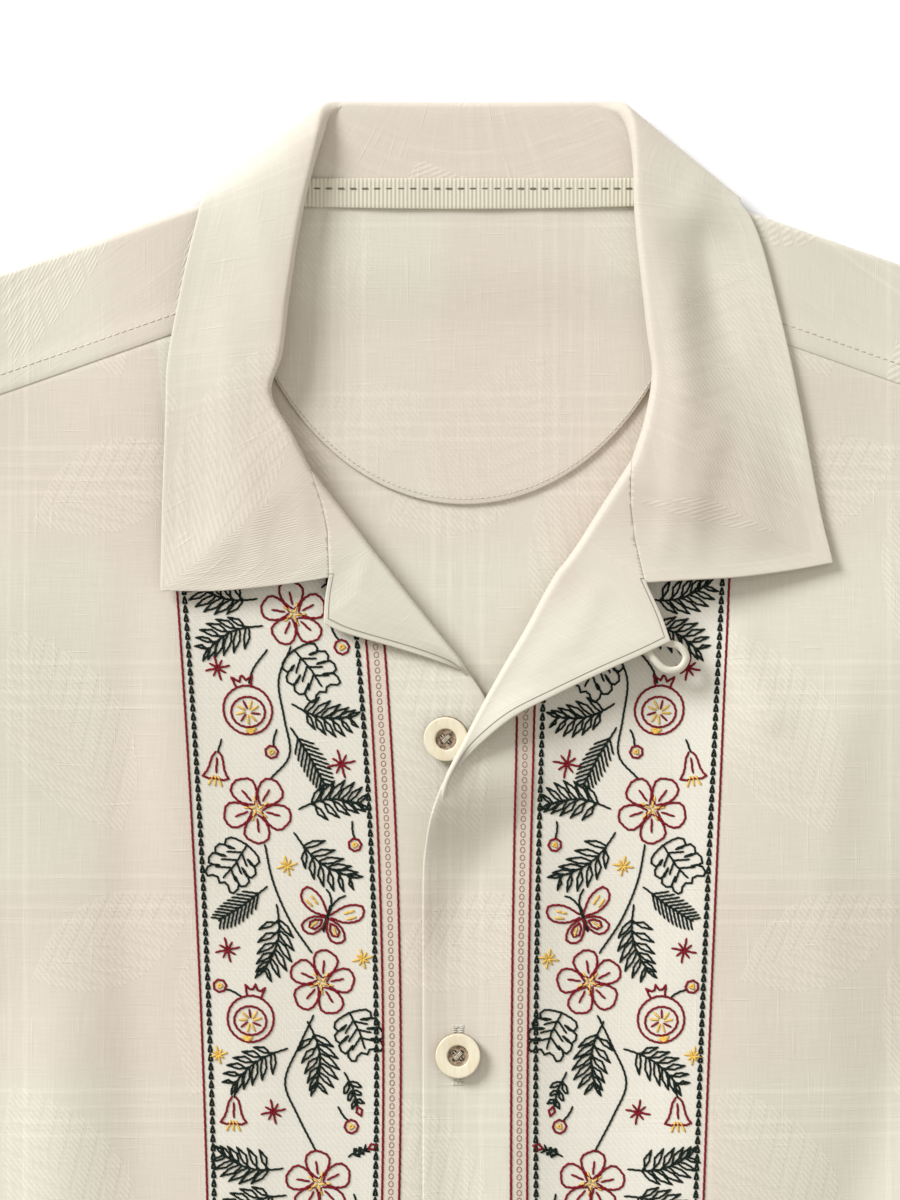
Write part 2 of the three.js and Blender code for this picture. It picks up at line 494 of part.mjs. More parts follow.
// Joins an outer and an inner stack of closed rings into one tube with open ends.
function ringWall(outer, inner) {
  const rows = outer.length;
  const count = outer[0].length;
  const positions = [...outer.flat(), ...inner.flat()].flatMap((point) => point.toArray());
  const triangles = [];
  const quad = (a, b, c, d) => triangles.push(a, b, c, a, c, d);
  const out = (i, j) => i * count + (j % count);
  const into = (i, j) => rows * count + i * count + (j % count);
  for (let j = 0; j < count; j += 1) {
    for (let i = 0; i < rows - 1; i += 1) {
      quad(out(i, j), out(i, j + 1), out(i + 1, j + 1), out(i + 1, j));
      quad(into(i, j), into(i + 1, j), into(i + 1, j + 1), into(i, j + 1));
    }
    quad(out(0, j), into(0, j), into(0, j + 1), out(0, j + 1));
    quad(out(rows - 1, j), out(rows - 1, j + 1), into(rows - 1, j + 1), into(rows - 1, j));
  }
  return closedMesh(positions, triangles);
}

// ---- buttons and loop ------------------------------------------------------------------------
function buttonGeometry() {
  const { radius, height, rim, well, hole, holeRing } = BUTTON;
  const profile = [
    [0, 0], [radius - 1, 0], [radius, 0.9], [radius, height - 0.9], [radius - 0.7, height],
    [radius - rim - 1.4, height], [radius - rim - 2.4, height - well], [0, height - well],
  ].map(([x, y]) => new THREE.Vector2(x, y));
  const disc = new THREE.LatheGeometry(profile, 20).rotateX(Math.PI / 2);
  let solid = toSolid(disc);
  for (const degrees of [45, 135, 225, 315]) {
    const drill = new THREE.CylinderGeometry(hole, hole, height * 3, 6).rotateX(Math.PI / 2);
    drill.translate(holeRing * Math.cos(radians(degrees)), holeRing * Math.sin(radians(degrees)), 0);
    solid = solid.subtract(toSolid(drill));
  }
  return toGeometry(solid);
}

const BUTTON_PLACES = [{ x: -6, y: -178.3, top: lowerFrontZ(-6, -178.3) + CLOTH }];
for (let i = 0; i < BUTTONS_ON_OVERLAP; i += 1) {
  const x = -2.3;
  const y = -284 - i * BUTTON_PITCH;
  BUTTON_PLACES.push({ x, y, top: upperFrontZ(x, y) + CLOTH });
}

function loopGeometry() {
  const route = [
    [55.5, -141.5], [58.6, -146], [62.4, -151.6], [66.6, -155.4], [71.2, -155],
    [73.4, -151.4], [71.2, -147.8], [67, -146.4], [62.6, -144.2], [59.6, -140.4],
  ].map(([x, y]) => new THREE.Vector3(x, y, upperFrontZ(x, y) + CLOTH + SEAM_GAP + LOOP_CORD / 2));
  const path = new THREE.CatmullRomCurve3(route);
  const section = new THREE.Shape();
  section.absarc(0, 0, LOOP_CORD / 2, 0, 2 * Math.PI);
  return new THREE.ExtrudeGeometry(section, { steps: 26, extrudePath: path, curveSegments: 4 });
}

// ---- assembly --------------------------------------------------------------------------------
const silk = () => new THREE.MeshStandardMaterial({ color: 0xe2dac8, roughness: 0.7, metalness: 0 });
const tapeCloth = () => new THREE.MeshStandardMaterial({ color: 0xe4dcc6, roughness: 0.85, metalness: 0 });
const shell = () => new THREE.MeshStandardMaterial({ color: 0xf0e8d2, roughness: 0.3, metalness: 0 });

const shirt = new THREE.Group();
function add(name, geometry, material) {
  const mesh = new THREE.Mesh(geometry, material);
  mesh.name = name;
  shirt.add(mesh);
  return mesh;
}

const { collar, lapelRight, lapelLeft } = collarPieces();
add("back", backPanel(), silk());
add("neck_facing", halfMoon(), silk());
add("neck_tape", neckTape(), tapeCloth());
add("front_right", frontPanel(RIGHT_SIDE, LOWER_PLACKET, -1, lowerFrontZ), silk());
add("front_left", frontPanel(LEFT_SIDE, UPPER_PLACKET, 1, upperFrontZ), silk());
add("lapel_right", lapelRight, silk());
add("lapel_left", lapelLeft, silk());
add("collar", collar, silk());
add("collar_loop", loopGeometry(), silk());
add("sleeve_right", sleeve(-1), silk());
add("sleeve_left", sleeve(1), silk());
BUTTON_PLACES.forEach((place, i) => {
  const button = add(`button_${i + 1}`, buttonGeometry(), shell());
  button.position.set(place.x, place.y, place.top + SEAM_GAP);
});

// The origin is the middle of the shirt's outline, on the surface it lies on.
shirt.position.y = (LENGTH - COLLAR_BACK_Y) / 2;
export default shirt;
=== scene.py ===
"""A short-sleeved silk camp shirt laid flat, with an open notched collar and embroidered bands.

Run it as a script: it loads the shirt's fixed frame, makes the cloth, sewing, buttons and stage
with the operators below. Sizes in the tables are millimetres, with X across the shirt, Y from hem
to collar (0 at the shoulder's neck point) and Z up.
"""
import math

import bpy
import numpy as np
from bpy.props import FloatProperty, FloatVectorProperty, PointerProperty
from bpy.types import Operator, Panel, PropertyGroup
from mathutils import Matrix, Vector


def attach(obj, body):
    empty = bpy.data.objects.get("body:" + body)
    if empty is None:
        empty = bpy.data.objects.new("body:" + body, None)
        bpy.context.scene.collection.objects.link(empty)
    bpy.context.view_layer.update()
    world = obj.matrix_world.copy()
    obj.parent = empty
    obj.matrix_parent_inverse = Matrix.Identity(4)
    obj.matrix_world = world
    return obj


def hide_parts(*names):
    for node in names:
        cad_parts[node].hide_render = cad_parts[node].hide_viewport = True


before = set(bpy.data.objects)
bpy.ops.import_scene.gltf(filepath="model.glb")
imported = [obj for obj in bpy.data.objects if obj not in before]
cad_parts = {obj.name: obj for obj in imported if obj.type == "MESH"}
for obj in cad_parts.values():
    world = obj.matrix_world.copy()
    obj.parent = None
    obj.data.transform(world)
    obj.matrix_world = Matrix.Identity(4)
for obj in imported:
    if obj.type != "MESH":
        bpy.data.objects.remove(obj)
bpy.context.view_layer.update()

bl_info = {
    "name": "Silk Camp Shirt",
    "version": (1, 0, 0),
    "blender": (4, 5, 0),
    "location": "3D View > Sidebar > Shirt",
    "description": "Makes a laid-flat silk camp shirt with embroidered bands, piece by piece",
    "category": "Object",
}

# ---- sizes, as in the shirt's solids ----------------------------------------------------------
LENGTH = 760.0
HEM_SEAM_Y = -740.0
CENTRE_Y = 363.0
HALF_CHEST = 305.0
HALF_SHOULDER = 262.0
SHOULDER_SLOPE = 0.345
SHOULDER_START = 87.0
UNDERARM_Y = -300.0
ARMHOLE_WAIST_X, ARMHOLE_WAIST_Y = 248.0, -140.0
YOKE_DROP = 39.7
SLEEVE_TOP = 245.0
SLEEVE_ANGLE = 33.5
CUFF_WIDTH = 205.0
NECKLINE_Y = 2.7
CLOTH = 1.2
COLLAR_CLOTH = 1.4
FACING_CLOTH = 0.9
TAPE_CLOTH = 0.8
SEAM_GAP = 0.3
STAND_TUCK = 8.0
OVERLAP_EDGE = -13.7
UNDERLAP_EDGE = 14.0
FALL_UNDER_Z = COLLAR_CLOTH / 2
BASE_BACK_Z = 3.6
CREASE_REACH = 2.6
TOP_BUTTON, SECOND_BUTTON = (-6.0, -178.3), (-2.3, -284.0)
BUTTON_RADIUS = 7.5
BUTTON_PITCH = 105.7
LOOP_CORD = 2.6

# Long folds: ends, half width, height, and sideways bow.
FOLDS = [
    (-133, -235, -142, -560, 17, 3.6, 0), (-205, -330, -232, -700, 26, 3.0, 0),
    (-62, -420, -86, -740, 22, 2.4, 0), (106, -150, 78, -380, 30, 4.6, 0),
    (158, -212, 116, -372, 13, -2.4, -8), (-158, -90, -152, -250, 24, 2.6, 0),
    (222, -300, 205, -690, 26, 3.0, 0), (92, -460, 70, -735, 22, 2.6, 0),
    (232, -118, 186, -232, 17, 2.4, 0), (-238, -120, -196, -240, 17, 2.4, 0),
]
# Lesser creases of the fronts, uneven in length, depth and spacing.
CREASES = [
    (-112, -150, -107, -340, 8, -0.7, 3), (-168, -120, -184, -300, 12, 0.9, -6),
    (-70, -250, -63, -420, 11, 0.6, 4), (-31, -215, -25, -400, 8, 0.5, -3),
    (-150, -390, -120, -600, 14, 1.0, 8), (-250, -380, -262, -560, 12, 0.9, 5),
    (-48, -520, -60, -700, 10, 0.7, -4), (-190, -560, -214, -735, 12, 0.9, 4),
    (-236, -205, -160, -262, 8, 0.8, 5), (-244, -262, -196, -322, 7, 0.7, -4),
    (22, -215, 16, -420, 8, 0.6, 3), (60, -200, 75, -360, 12, 0.7, -5),
    (132, -150, 121, -290, 9, 0.9, 5), (196, -260, 180, -430, 12, 0.9, -6),
    (97, -380, 88, -560, 13, 0.9, 6), (40, -500, 49, -690, 10, 0.6, -3),
    (150, -500, 161, -700, 14, 1.0, 7), (246, -420, 257, -640, 12, 0.8, -5),
    (240, -215, 168, -270, 8, 0.8, -5), (248, -268, 205, -330, 7, 0.6, 4),
    (90, -140, 104, -176, 6, 1.3, 2), (84, -176, 76, -260, 9, 0.9, -3), (-98, -120, -92, -230, 9, 0.9, 3),
]
BACK_CREASES = [
    (-210, -110, -236, -330, 11, 0.7, 5), (-120, -230, -132, -520, 12, 0.6, -6),
    (-30, -300, -38, -600, 10, 0.5, 5), (74, -210, 64, -470, 11, 0.6, 6),
    (160, -330, 178, -640, 13, 0.7, -7), (226, -140, 214, -380, 11, 0.7, 5),
    (-190, -480, -206, -720, 12, 0.6, 5), (18, -560, 30, -735, 10, 0.5, -4),
]
# Soft wrinkles of the collar's fall and the lapels.
LEAF_CREASES = [
    (-52, -112, -60, -62, 3.4, 0.5, 1), (-66, -126, -72, -84, 4.6, 0.5, -2),
    (-84, -128, -80, -30, 7.0, 0.6, 3), (-60, -40, -72, 20, 6.0, 0.4, -2),
    (-36, -128, -30, -116, 3.0, 0.3, 0), (66, -120, 68, -66, 3.6, 0.5, 1),
    (76, -124, 84, -72, 4.6, 0.6, -2), (96, -122, 92, -40, 7.5, 0.8, 4),
    (112, -114, 100, -60, 5.0, 0.5, 2), (70, -44, 82, 14, 6.5, 0.6, -3),
    (34, -150, 44, -126, 4.5, 0.5, 1), (22, -158, 34, -132, 6.0, 0.5, 2),
    (71, -22, 73, -112, 6.5, 1.4, 0),
]

# Rows across the roll, from the front opening to the back of the neck. On a lapel: fold x and y,
# free edge x and y, radius of the roll, and lift of the edge. On the collar: fold, free edge, seam,
# radius, lift, and turn, 0 where the fall lies on its stand and 180 where it lies under it.
RIGHT_LAPEL = [
    (1.6, -157.5, 1.2, -157.7, 0.3, -1.6), (0.5, -155.2, -0.7, -156, 0.6, -0.6),
    (-1.3, -152.3, -3.6, -154.2, 1, 0.2), (-6.4, -146, -12.6, -151, 1.3, 0.8),
    (-12, -139, -22.9, -147.8, 1.5, 1.4), (-20.8, -128, -39.4, -143, 1.8, 2.2),
    (-25, -122.5, -46.7, -139.7, 2, 2.4), (-28.4, -118.3, -46.2, -131.8, 2.1, 2.6),
    (-31, -115, -45, -124.5, 2.2, 3.4), (-35.8, -108.6, -60.5, -126.9, 2.3, 3.6),
    (-43, -99.3, -81.2, -128.9, 2.4, 3.6),
]
RIGHT_COLLAR = [
    (-51.3, -88.7, -101, -129, -59.5, -94, 2.5, 3.2, 0),
    (-57.5, -76.5, -100.3, -98, -69, -80, 2.5, 3.4, 0), (-64.3, -63.3, -99.2, -72, -77, -64, 2.2, 3.2, 0),
    (-60.6, -50, -98.6, -54, -80, -47, 2.4, 3, 0), (-58.4, -32, -95.7, -37, -80, -28, 2.6, 3, 0),
    (-55.6, -13, -92.3, -20.5, -78, -12, 2.5, 3.4, 0), (-53, 1, -89.3, -8, -76, -3, 2.3, 3, 0),
    (-50, 13.3, -87.4, -1.5, -74.6, 4.6, 2.1, 2.2, 14), (-47.3, 24, -86.2, 0, -73.5, 7, 1.9, 1.2, 42),
    (-45.8, 30.7, -86, 0.3, -71, 7.4, 1.6, 0.5, 78), (-43.6, 33, -85.8, 0.4, -67.5, 7, 1.5, 0, 112),
    (-41, 33.8, -84.8, 0.8, -62.5, 6.2, 1.5, 0, 148), (-37, 34, -81, -4.5, -57, 5.2, 1.5, 0, 180),
    (-25, 34, -52, -12, -41, 3.8, 1.5, 0, 180), (-12, 34, -24, -13.6, -19.5, 3.3, 1.5, 0, 180),
]
LEFT_LAPEL = [
    (-8.7, -199, -8.3, -199.2, 0.3, -1.8), (-7, -191.8, -5.9, -192.4, 0.6, -0.8),
    (-4, -185.3, -1.6, -186.3, 1, 0.4), (0.6, -176.6, 5.8, -178.8, 1.4, 3),
    (6.7, -165, 16.5, -170.3, 2, 6.6), (13, -153.7, 30, -163.3, 2.5, 8.8),
    (19.7, -142.3, 44.5, -156.3, 2.9, 9.6), (26, -130.5, 59.5, -149.6, 3.1, 9.4),
    (30.5, -122.8, 67.7, -145.7, 3.2, 9), (34, -118.5, 64.7, -137.3, 3.3, 8.6),
    (38.5, -112, 59.7, -126.3, 3.4, 8.2), (42.5, -105.5, 72, -125.5, 3.6, 7),
    (48, -96.8, 90, -124.5, 3.8, 5),
]
LEFT_COLLAR = [
    (52.4, -90, 107, -122.4, 61, -95, 4, 2.8, 0), (55.4, -85.3, 122.3, -119.7, 65, -90, 4.1, 1.4, 0),
    (59.6, -72, 118, -102, 74, -76, 4, 0.8, 0), (62, -57, 112.6, -74, 80, -59, 3.5, 0.7, 0),
    (60.3, -43, 107.8, -51, 82, -43, 3.4, 0.6, 0), (58.7, -28, 103, -31, 82, -27, 3.2, 0.5, 0),
    (57, -12.7, 98.6, -14.5, 80, -12, 2.9, 0.5, 0), (56, 0.3, 94.6, -4.5, 77.5, -3, 2.4, 0.5, 0),
    (55.8, 13, 91.6, -1.4, 75.6, 4.4, 2.2, 0.5, 14), (54.6, 25, 90, -0.6, 74.2, 7, 1.9, 0.5, 42),
    (52, 31.6, 89.6, -0.4, 71.6, 7.4, 1.6, 0.5, 78), (49, 33.2, 89, -0.3, 68, 7, 1.5, 0, 112),
    (45, 33.8, 87, 0.1, 63, 6.2, 1.5, 0, 148), (40, 34, 82.5, -4.5, 57, 5.2, 1.5, 0, 180),
    (26, 34, 52, -12, 41, 3.8, 1.5, 0, 180), (12, 34, 24, -13.6, 19.5, 3.3, 1.5, 0, 180),
]
BACK_ROW = (0, 34, 0, -14, 0, 3.2, 1.5, 0, 180)
RIGHT_ROWS = [(*row[:4], None, None, *row[4:], 0) for row in RIGHT_LAPEL] + RIGHT_COLLAR
LEFT_ROWS = [(*row[:4], None, None, *row[4:], 0) for row in LEFT_LAPEL] + LEFT_COLLAR
RIGHT_TIPS = (6, 8, 11)               # rows at a corner of the free edge
LEFT_TIPS = (8, 10, 14)
TAIL_CLEARANCE = (-9.0, -3.6, 0.0)    # the first rows of a lapel sink into the front's edge
CUTTER_SPAN = (-5, 60)                # heights
SEAM_LINE = 0.03                      # gap along the gorge seams
ROLL_WIDTH = 0.45                     # of its height, in plan
GORGE_RIGHT = [(-44, -82), (-51.3, -88.7), (-47.3, -101.3), (-45.7, -109), (-45.2, -124.4), (-60, -140)]
GORGE_LEFT = [(47, -79), (55.4, -85.3), (55, -91.3), (55, -100), (56.3, -111.7), (59.5, -125.6), (85, -142)]
LAPEL_RIGHT_REST = [(-60, -163), (4.5, -163), (4.5, -140)]
LAPEL_LEFT_REST = [(85, -202), (-20, -202), (-20, -176), (5, -160.8), (7, -145)]

# Lines of the embroidered bands: x at y = -130, -186 and -332.
BAND_LEFT = {
    "outer_red": (-96, -92.3, -86), "outer_chain": (-93.7, -89.7, -83.7),
    "inner_chain": (-37.6, -33, -30), "red_1": (-34.3, -30.3, -27.7), "red_2": (-28.3, -24.3, -22),
}
BAND_RIGHT = {
    "outer_red": (88, 85.3, 79.3), "outer_chain": (85.7, 82.7, 76.7),
    "inner_chain": (27.6, 25.4, 23.7), "red_2": (24.6, 22.7, 20.7), "red_1": (18.6, 17, 15.3),
}
BAND_LEVELS = (-130.0, -186.0, -332.0)
BAND_TOP = -104.0
BAND_BOTTOM = -752.0


# ---- small maths -------------------------------------------------------------------------------
def ramp(value):
    """Smooth step from 0 to 1."""
    value = np.clip(value, 0.0, 1.0)
    return value * value * (3 - 2 * value)


def mix(a, b, k):
    return a + (b - a) * k


def unit(vectors):
    """Vectors of length one along the last axis."""
    return vectors / np.maximum(np.linalg.norm(vectors, axis=-1, keepdims=True), 1e-9)


def spline(values, per, tips=()):
    """Points through the rows of values, smooth except at the rows named in tips."""
    values = np.asarray(values, float)
    last = len(values) - 1
    parts = []
    for i in range(last):
        here, there = values[i], values[i + 1]
        before = values[i - 1] if i > 0 and i not in tips else 2 * here - there
        after = values[i + 2] if i + 2 <= last and i + 1 not in tips else 2 * there - here
        k = (np.arange(per) / per)[:, None]
        slope_a, slope_b = (there - before) / 2, (after - here) / 2
        parts.append(
            here * (2 * k**3 - 3 * k**2 + 1) + slope_a * (k**3 - 2 * k**2 + k)
            + there * (3 * k**2 - 2 * k**3) + slope_b * (k**3 - k**2)
        )
    return np.vstack([*parts, values[-1:]])


def resample(points, step):
    """Points spaced evenly along a line, about step apart."""
    points = np.asarray(points, float)
    run = np.concatenate([[0], np.cumsum(np.linalg.norm(np.diff(points, axis=0), axis=1))])
    count = max(2, int(round(run[-1] / step)) + 1)
    at = np.linspace(0, run[-1], count)
    return np.stack([np.interp(at, run, points[:, i]) for i in range(points.shape[1])], axis=1)


# ---- the lie of the cloth ----------------------------------------------------------------------
# The loose edge of the upper front: waves of its height, and how far in from it the cloth lies down.
EDGE_WAVES = [(-196, 19, 11.5), (-232, 15, 2.4)]
EDGE_RISE = 1.6
FOOT_X = -2
FOOT_WAVE = (-188, 25, 37)
FRONT_TOP_Y = -158                    # above it the lower front shows at the placket


def fold_sum(table, x, y):
    """Height of all the folds of a table at plan points."""
    height = np.zeros(np.broadcast(x, y).shape)
    for x0, y0, x1, y1, width, rise, bow in table:
        dx, dy = x1 - x0, y1 - y0
        along = ((x - x0) * dx + (y - y0) * dy) / (dx * dx + dy * dy)
        aside = ((x - x0) * dy - (y - y0) * dx) / math.hypot(dx, dy)
        aside = aside - bow * np.sin(math.pi * np.clip(along, 0, 1))
        end = ramp((along + 0.12) / 0.3) * ramp((1.12 - along) / 0.3)
        height = height + rise * end * np.exp(-((aside / width) ** 2))
    return height


def back_lift(x, y):
    return 1.7 * ramp((y + 45) / 27) * ramp((125 - np.abs(x)) / 30)


def neck_lift(x, y):
    return 3.0 * ramp((y + 120) / 65) * ramp((150 - np.abs(x)) / 50)


def lower_front(x, y):
    """Underside of the lower front and of the back's forward strips."""
    sides = ramp((HALF_CHEST - 6 - np.abs(x)) / 60)
    ends = ramp((-70 - y) / 80) * ramp((y + LENGTH - 4) / 60)
    folds = 1.6 + fold_sum(FOLDS, x, y) + fold_sum(CREASES, x, y)
    return CLOTH + SEAM_GAP + neck_lift(x, y) + folds * sides * ends


def upper_front(x, y):
    """Underside of the upper front, whose loose edge stands up in a wave below the lapel."""
    overlap = (CLOTH + SEAM_GAP) * ramp((36 - x) / 20)
    wave = sum(height * np.exp(-(((y - level) / spread) ** 2)) for level, spread, height in EDGE_WAVES)
    rise = (EDGE_RISE + wave) * ramp((-150 - y) / 20) * ramp((y + 700) / 90)
    level, spread, inward = FOOT_WAVE
    foot = FOOT_X + inward * np.exp(-(((y - level) / spread) ** 2))
    reach = np.clip((foot - x) / (foot - OVERLAP_EDGE), 0, 1.05)
    return lower_front(x, y) + overlap + rise * reach**1.5


def front_top(x, y):
    lower = (x < UNDERLAP_EDGE) & (y > FRONT_TOP_Y)
    return np.where(lower, lower_front(x, y), upper_front(x, y)) + CLOTH


def shoulder_y(x):
    return -SHOULDER_SLOPE * (np.maximum(np.abs(x), 69) - SHOULDER_START)


def armhole_x(y):
    waist = ARMHOLE_WAIST_Y
    top = shoulder_y(HALF_SHOULDER)
    upper = (HALF_SHOULDER - ARMHOLE_WAIST_X) * ((y - waist) / (waist - top)) ** 2
    lower = (HALF_CHEST - ARMHOLE_WAIST_X) * (np.maximum(0, waist - y) / (waist - UNDERARM_Y)) ** 2.2
    return np.where(y < UNDERARM_Y, HALF_CHEST, ARMHOLE_WAIST_X + np.where(y > waist, upper, lower))


def seam_end():
    """Where the forward shoulder seam meets the armhole."""
    y = -96.0
    for _ in range(8):
        y = float(shoulder_y(armhole_x(y)) - YOKE_DROP)
    return float(armhole_x(y)), y


# ---- meshes --------------------------------------------------------------------------------------
def settings():
    return bpy.context.scene.silk_shirt


def new_piece(name, points, faces, cloth_map=None, caps=()):
    """A mesh object from points in millimetres, with the cloth's own coordinates as its UV map."""
    mesh = bpy.data.meshes.new(name)
    placed = (np.asarray(points) + (0, CENTRE_Y, 0)) / 1000
    ends = [[int(corner) for corner in cap] for cap in caps]
    mesh.from_pydata(placed.tolist(), [], np.asarray(faces).tolist() + ends)
    mesh.polygons.foreach_set("use_smooth", np.ones(len(mesh.polygons), bool))
    if cloth_map is not None:
        corner = np.empty(len(mesh.loops), np.int32)
        mesh.loops.foreach_get("vertex_index", corner)
        layer = mesh.uv_layers.new(name="cloth")
        layer.data.foreach_set("uv", (np.asarray(cloth_map)[corner] / 1000).ravel())
    mesh.update()
    piece = bpy.data.objects.new(name, mesh)
    bpy.context.collection.objects.link(piece)
    return piece


ROUND_RIM = [(0.3, 0.38), (0.5, 0.0), (0.3, -0.38)]
DOUBLE_RIM = [(0.36, 0.42), (0.42, 0.16), (0.08, 0.0), (0.42, -0.16), (0.36, -0.42)]


def cloth_shell(name, grid, cloth_map, thickness, rim=None, closed=False):
    """A thin closed wall on both sides of a grid of points, with a turned edge."""
    rim = rim or ROUND_RIM
    rows, columns = grid.shape[:2]
    down = np.gradient(grid, axis=0)
    across = (np.roll(grid, -1, 1) - np.roll(grid, 1, 1)) if closed else np.gradient(grid, axis=1)
    normal = unit(np.cross(down, across))
    index = np.arange(rows * columns).reshape(rows, columns)
    wide = np.hstack([index, index[:, :1]]) if closed else index
    top = np.stack([wide[:-1, :-1], wide[:-1, 1:], wide[1:, 1:], wide[1:, :-1]], -1).reshape(-1, 4)
    first_out, last_out = unit(grid[0] - grid[1]), unit(grid[-1] - grid[-2])
    if closed:
        loops = [(index[0], first_out), (index[-1, ::-1], last_out[::-1])]
    else:
        left, right = unit(grid[:, 0] - grid[:, 1]), unit(grid[:, -1] - grid[:, -2])
        outs = np.zeros_like(grid)
        outs[0] += first_out
        outs[-1] += last_out
        outs[:, 0] += left
        outs[:, -1] += right
        loop = np.concatenate([index[0], index[1:, -1], index[-1, -2::-1], index[-2:0:-1, 0]])
        loops = [(loop, unit(outs.reshape(-1, 3)[loop]))]
    flat, flat_normal = grid.reshape(-1, 3), normal.reshape(-1, 3)
    half = flat_normal * thickness / 2
    points = [flat + half, flat - half]
    maps = [cloth_map.reshape(-1, 2)] * 2
    faces = [top, top[:, ::-1] + len(flat)]
    count = 2 * len(flat)
    for loop, out in loops:
        chain = [loop]
        for reach, height in rim:
            points.append(flat[loop] + (out * reach + flat_normal[loop] * height) * thickness)
            maps.append(cloth_map.reshape(-1, 2)[loop])
            chain.append(np.arange(count, count + len(loop)))
            count += len(loop)
        chain.append(loop + len(flat))
        for a, b in zip(chain, chain[1:]):
            faces.append(np.stack([np.roll(a, -1), a, b, np.roll(b, -1)], -1))
    points, faces = np.vstack(points), np.vstack(faces)
    a, b, c, d = (points[faces[:, i]] for i in range(4))
    volume = np.einsum("ij,ij->i", a, np.cross(b, c) + np.cross(c, d)).sum()
    if volume < 0:
        faces = faces[:, ::-1]
    return new_piece(name, points, faces, np.vstack(maps))


def prism(outline, bottom, top):
    """A closed upright block over an outline, for cutting."""
    count = len(outline)
    points = [(x, y, z) for z in (bottom, top) for x, y in outline]
    mesh = bpy.data.meshes.new("cutter")
    placed = (np.array(points) + (0, CENTRE_Y, 0)) / 1000
    sides = [(i, (i + 1) % count, (i + 1) % count + count, i + count) for i in range(count)]
    mesh.from_pydata(placed.tolist(), [], [tuple(range(count))[::-1], tuple(range(count, 2 * count)), *sides])
    cutter = bpy.data.objects.new("cutter", mesh)
    bpy.context.collection.objects.link(cutter)
    only(cutter)
    bpy.ops.object.mode_set(mode="EDIT")
    bpy.ops.mesh.select_all(action="SELECT")
    bpy.ops.mesh.normals_make_consistent(inside=False)
    bpy.ops.object.mode_set(mode="OBJECT")
    return cutter


def only(piece):
    """Selects one object alone and makes it active."""
    for other in bpy.context.selected_objects:
        other.select_set(False)
    piece.select_set(True)
    bpy.context.view_layer.objects.active = piece


def apply_modifier(piece, kind, **values):
    modifier = piece.modifiers.new(kind.lower(), kind)
    for key, value in values.items():
        setattr(modifier, key, value)
    only(piece)
    bpy.ops.object.modifier_apply(modifier=modifier.name)


def cut(piece, cutter, operation):
    apply_modifier(piece, "BOOLEAN", operation=operation, solver="EXACT", object=cutter)
    bpy.data.objects.remove(cutter)


def copy_of(piece, name):
    twin = piece.copy()
    twin.data = piece.data.copy()
    twin.name = name
    bpy.context.collection.objects.link(twin)
    return twin


def finish_cloth(piece, node):
    """Makes a cloth piece ride on the root and hides the solid it stands for."""
    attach(piece, "root")
    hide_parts(node)


def trim(piece, material):
    """A small piece on the cloth: its finish and what it moves with."""
    piece.data.materials.append(material)
    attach(piece, "root")
    return piece


# ---- shader maths ------------------------------------------------------------------------------
class Value:
    """A shader socket whose arithmetic adds Math nodes."""

    def __init__(self, finish, socket):
        self.finish = finish
        self.socket = socket

    def maths(self, operation, *others):
        return self.finish.node("ShaderNodeMath", {"operation": operation}, dict(enumerate((self, *others))))

    def __add__(self, other):
        return self.maths("ADD", other)

    __radd__ = __add__

    def __mul__(self, other):
        return self.maths("MULTIPLY", other)

    __rmul__ = __mul__

    def __sub__(self, other):
        return self.maths("SUBTRACT", other)

    def __rsub__(self, other):
        return self * -1 + other

    def __truediv__(self, other):
        return self.maths("DIVIDE", other)

    def __abs__(self):
        return self.maths("ABSOLUTE")

    def part(self):
        """What is left past the whole number."""
        return self.maths("FRACT")

    def rise(self, start, end):
        """0 below start, 1 above end, smooth between them."""
        inputs = {"Value": self, "From Min": start, "From Max": end}
        return self.finish.node("ShaderNodeMapRange", {"interpolation_type": "SMOOTHSTEP"}, inputs)


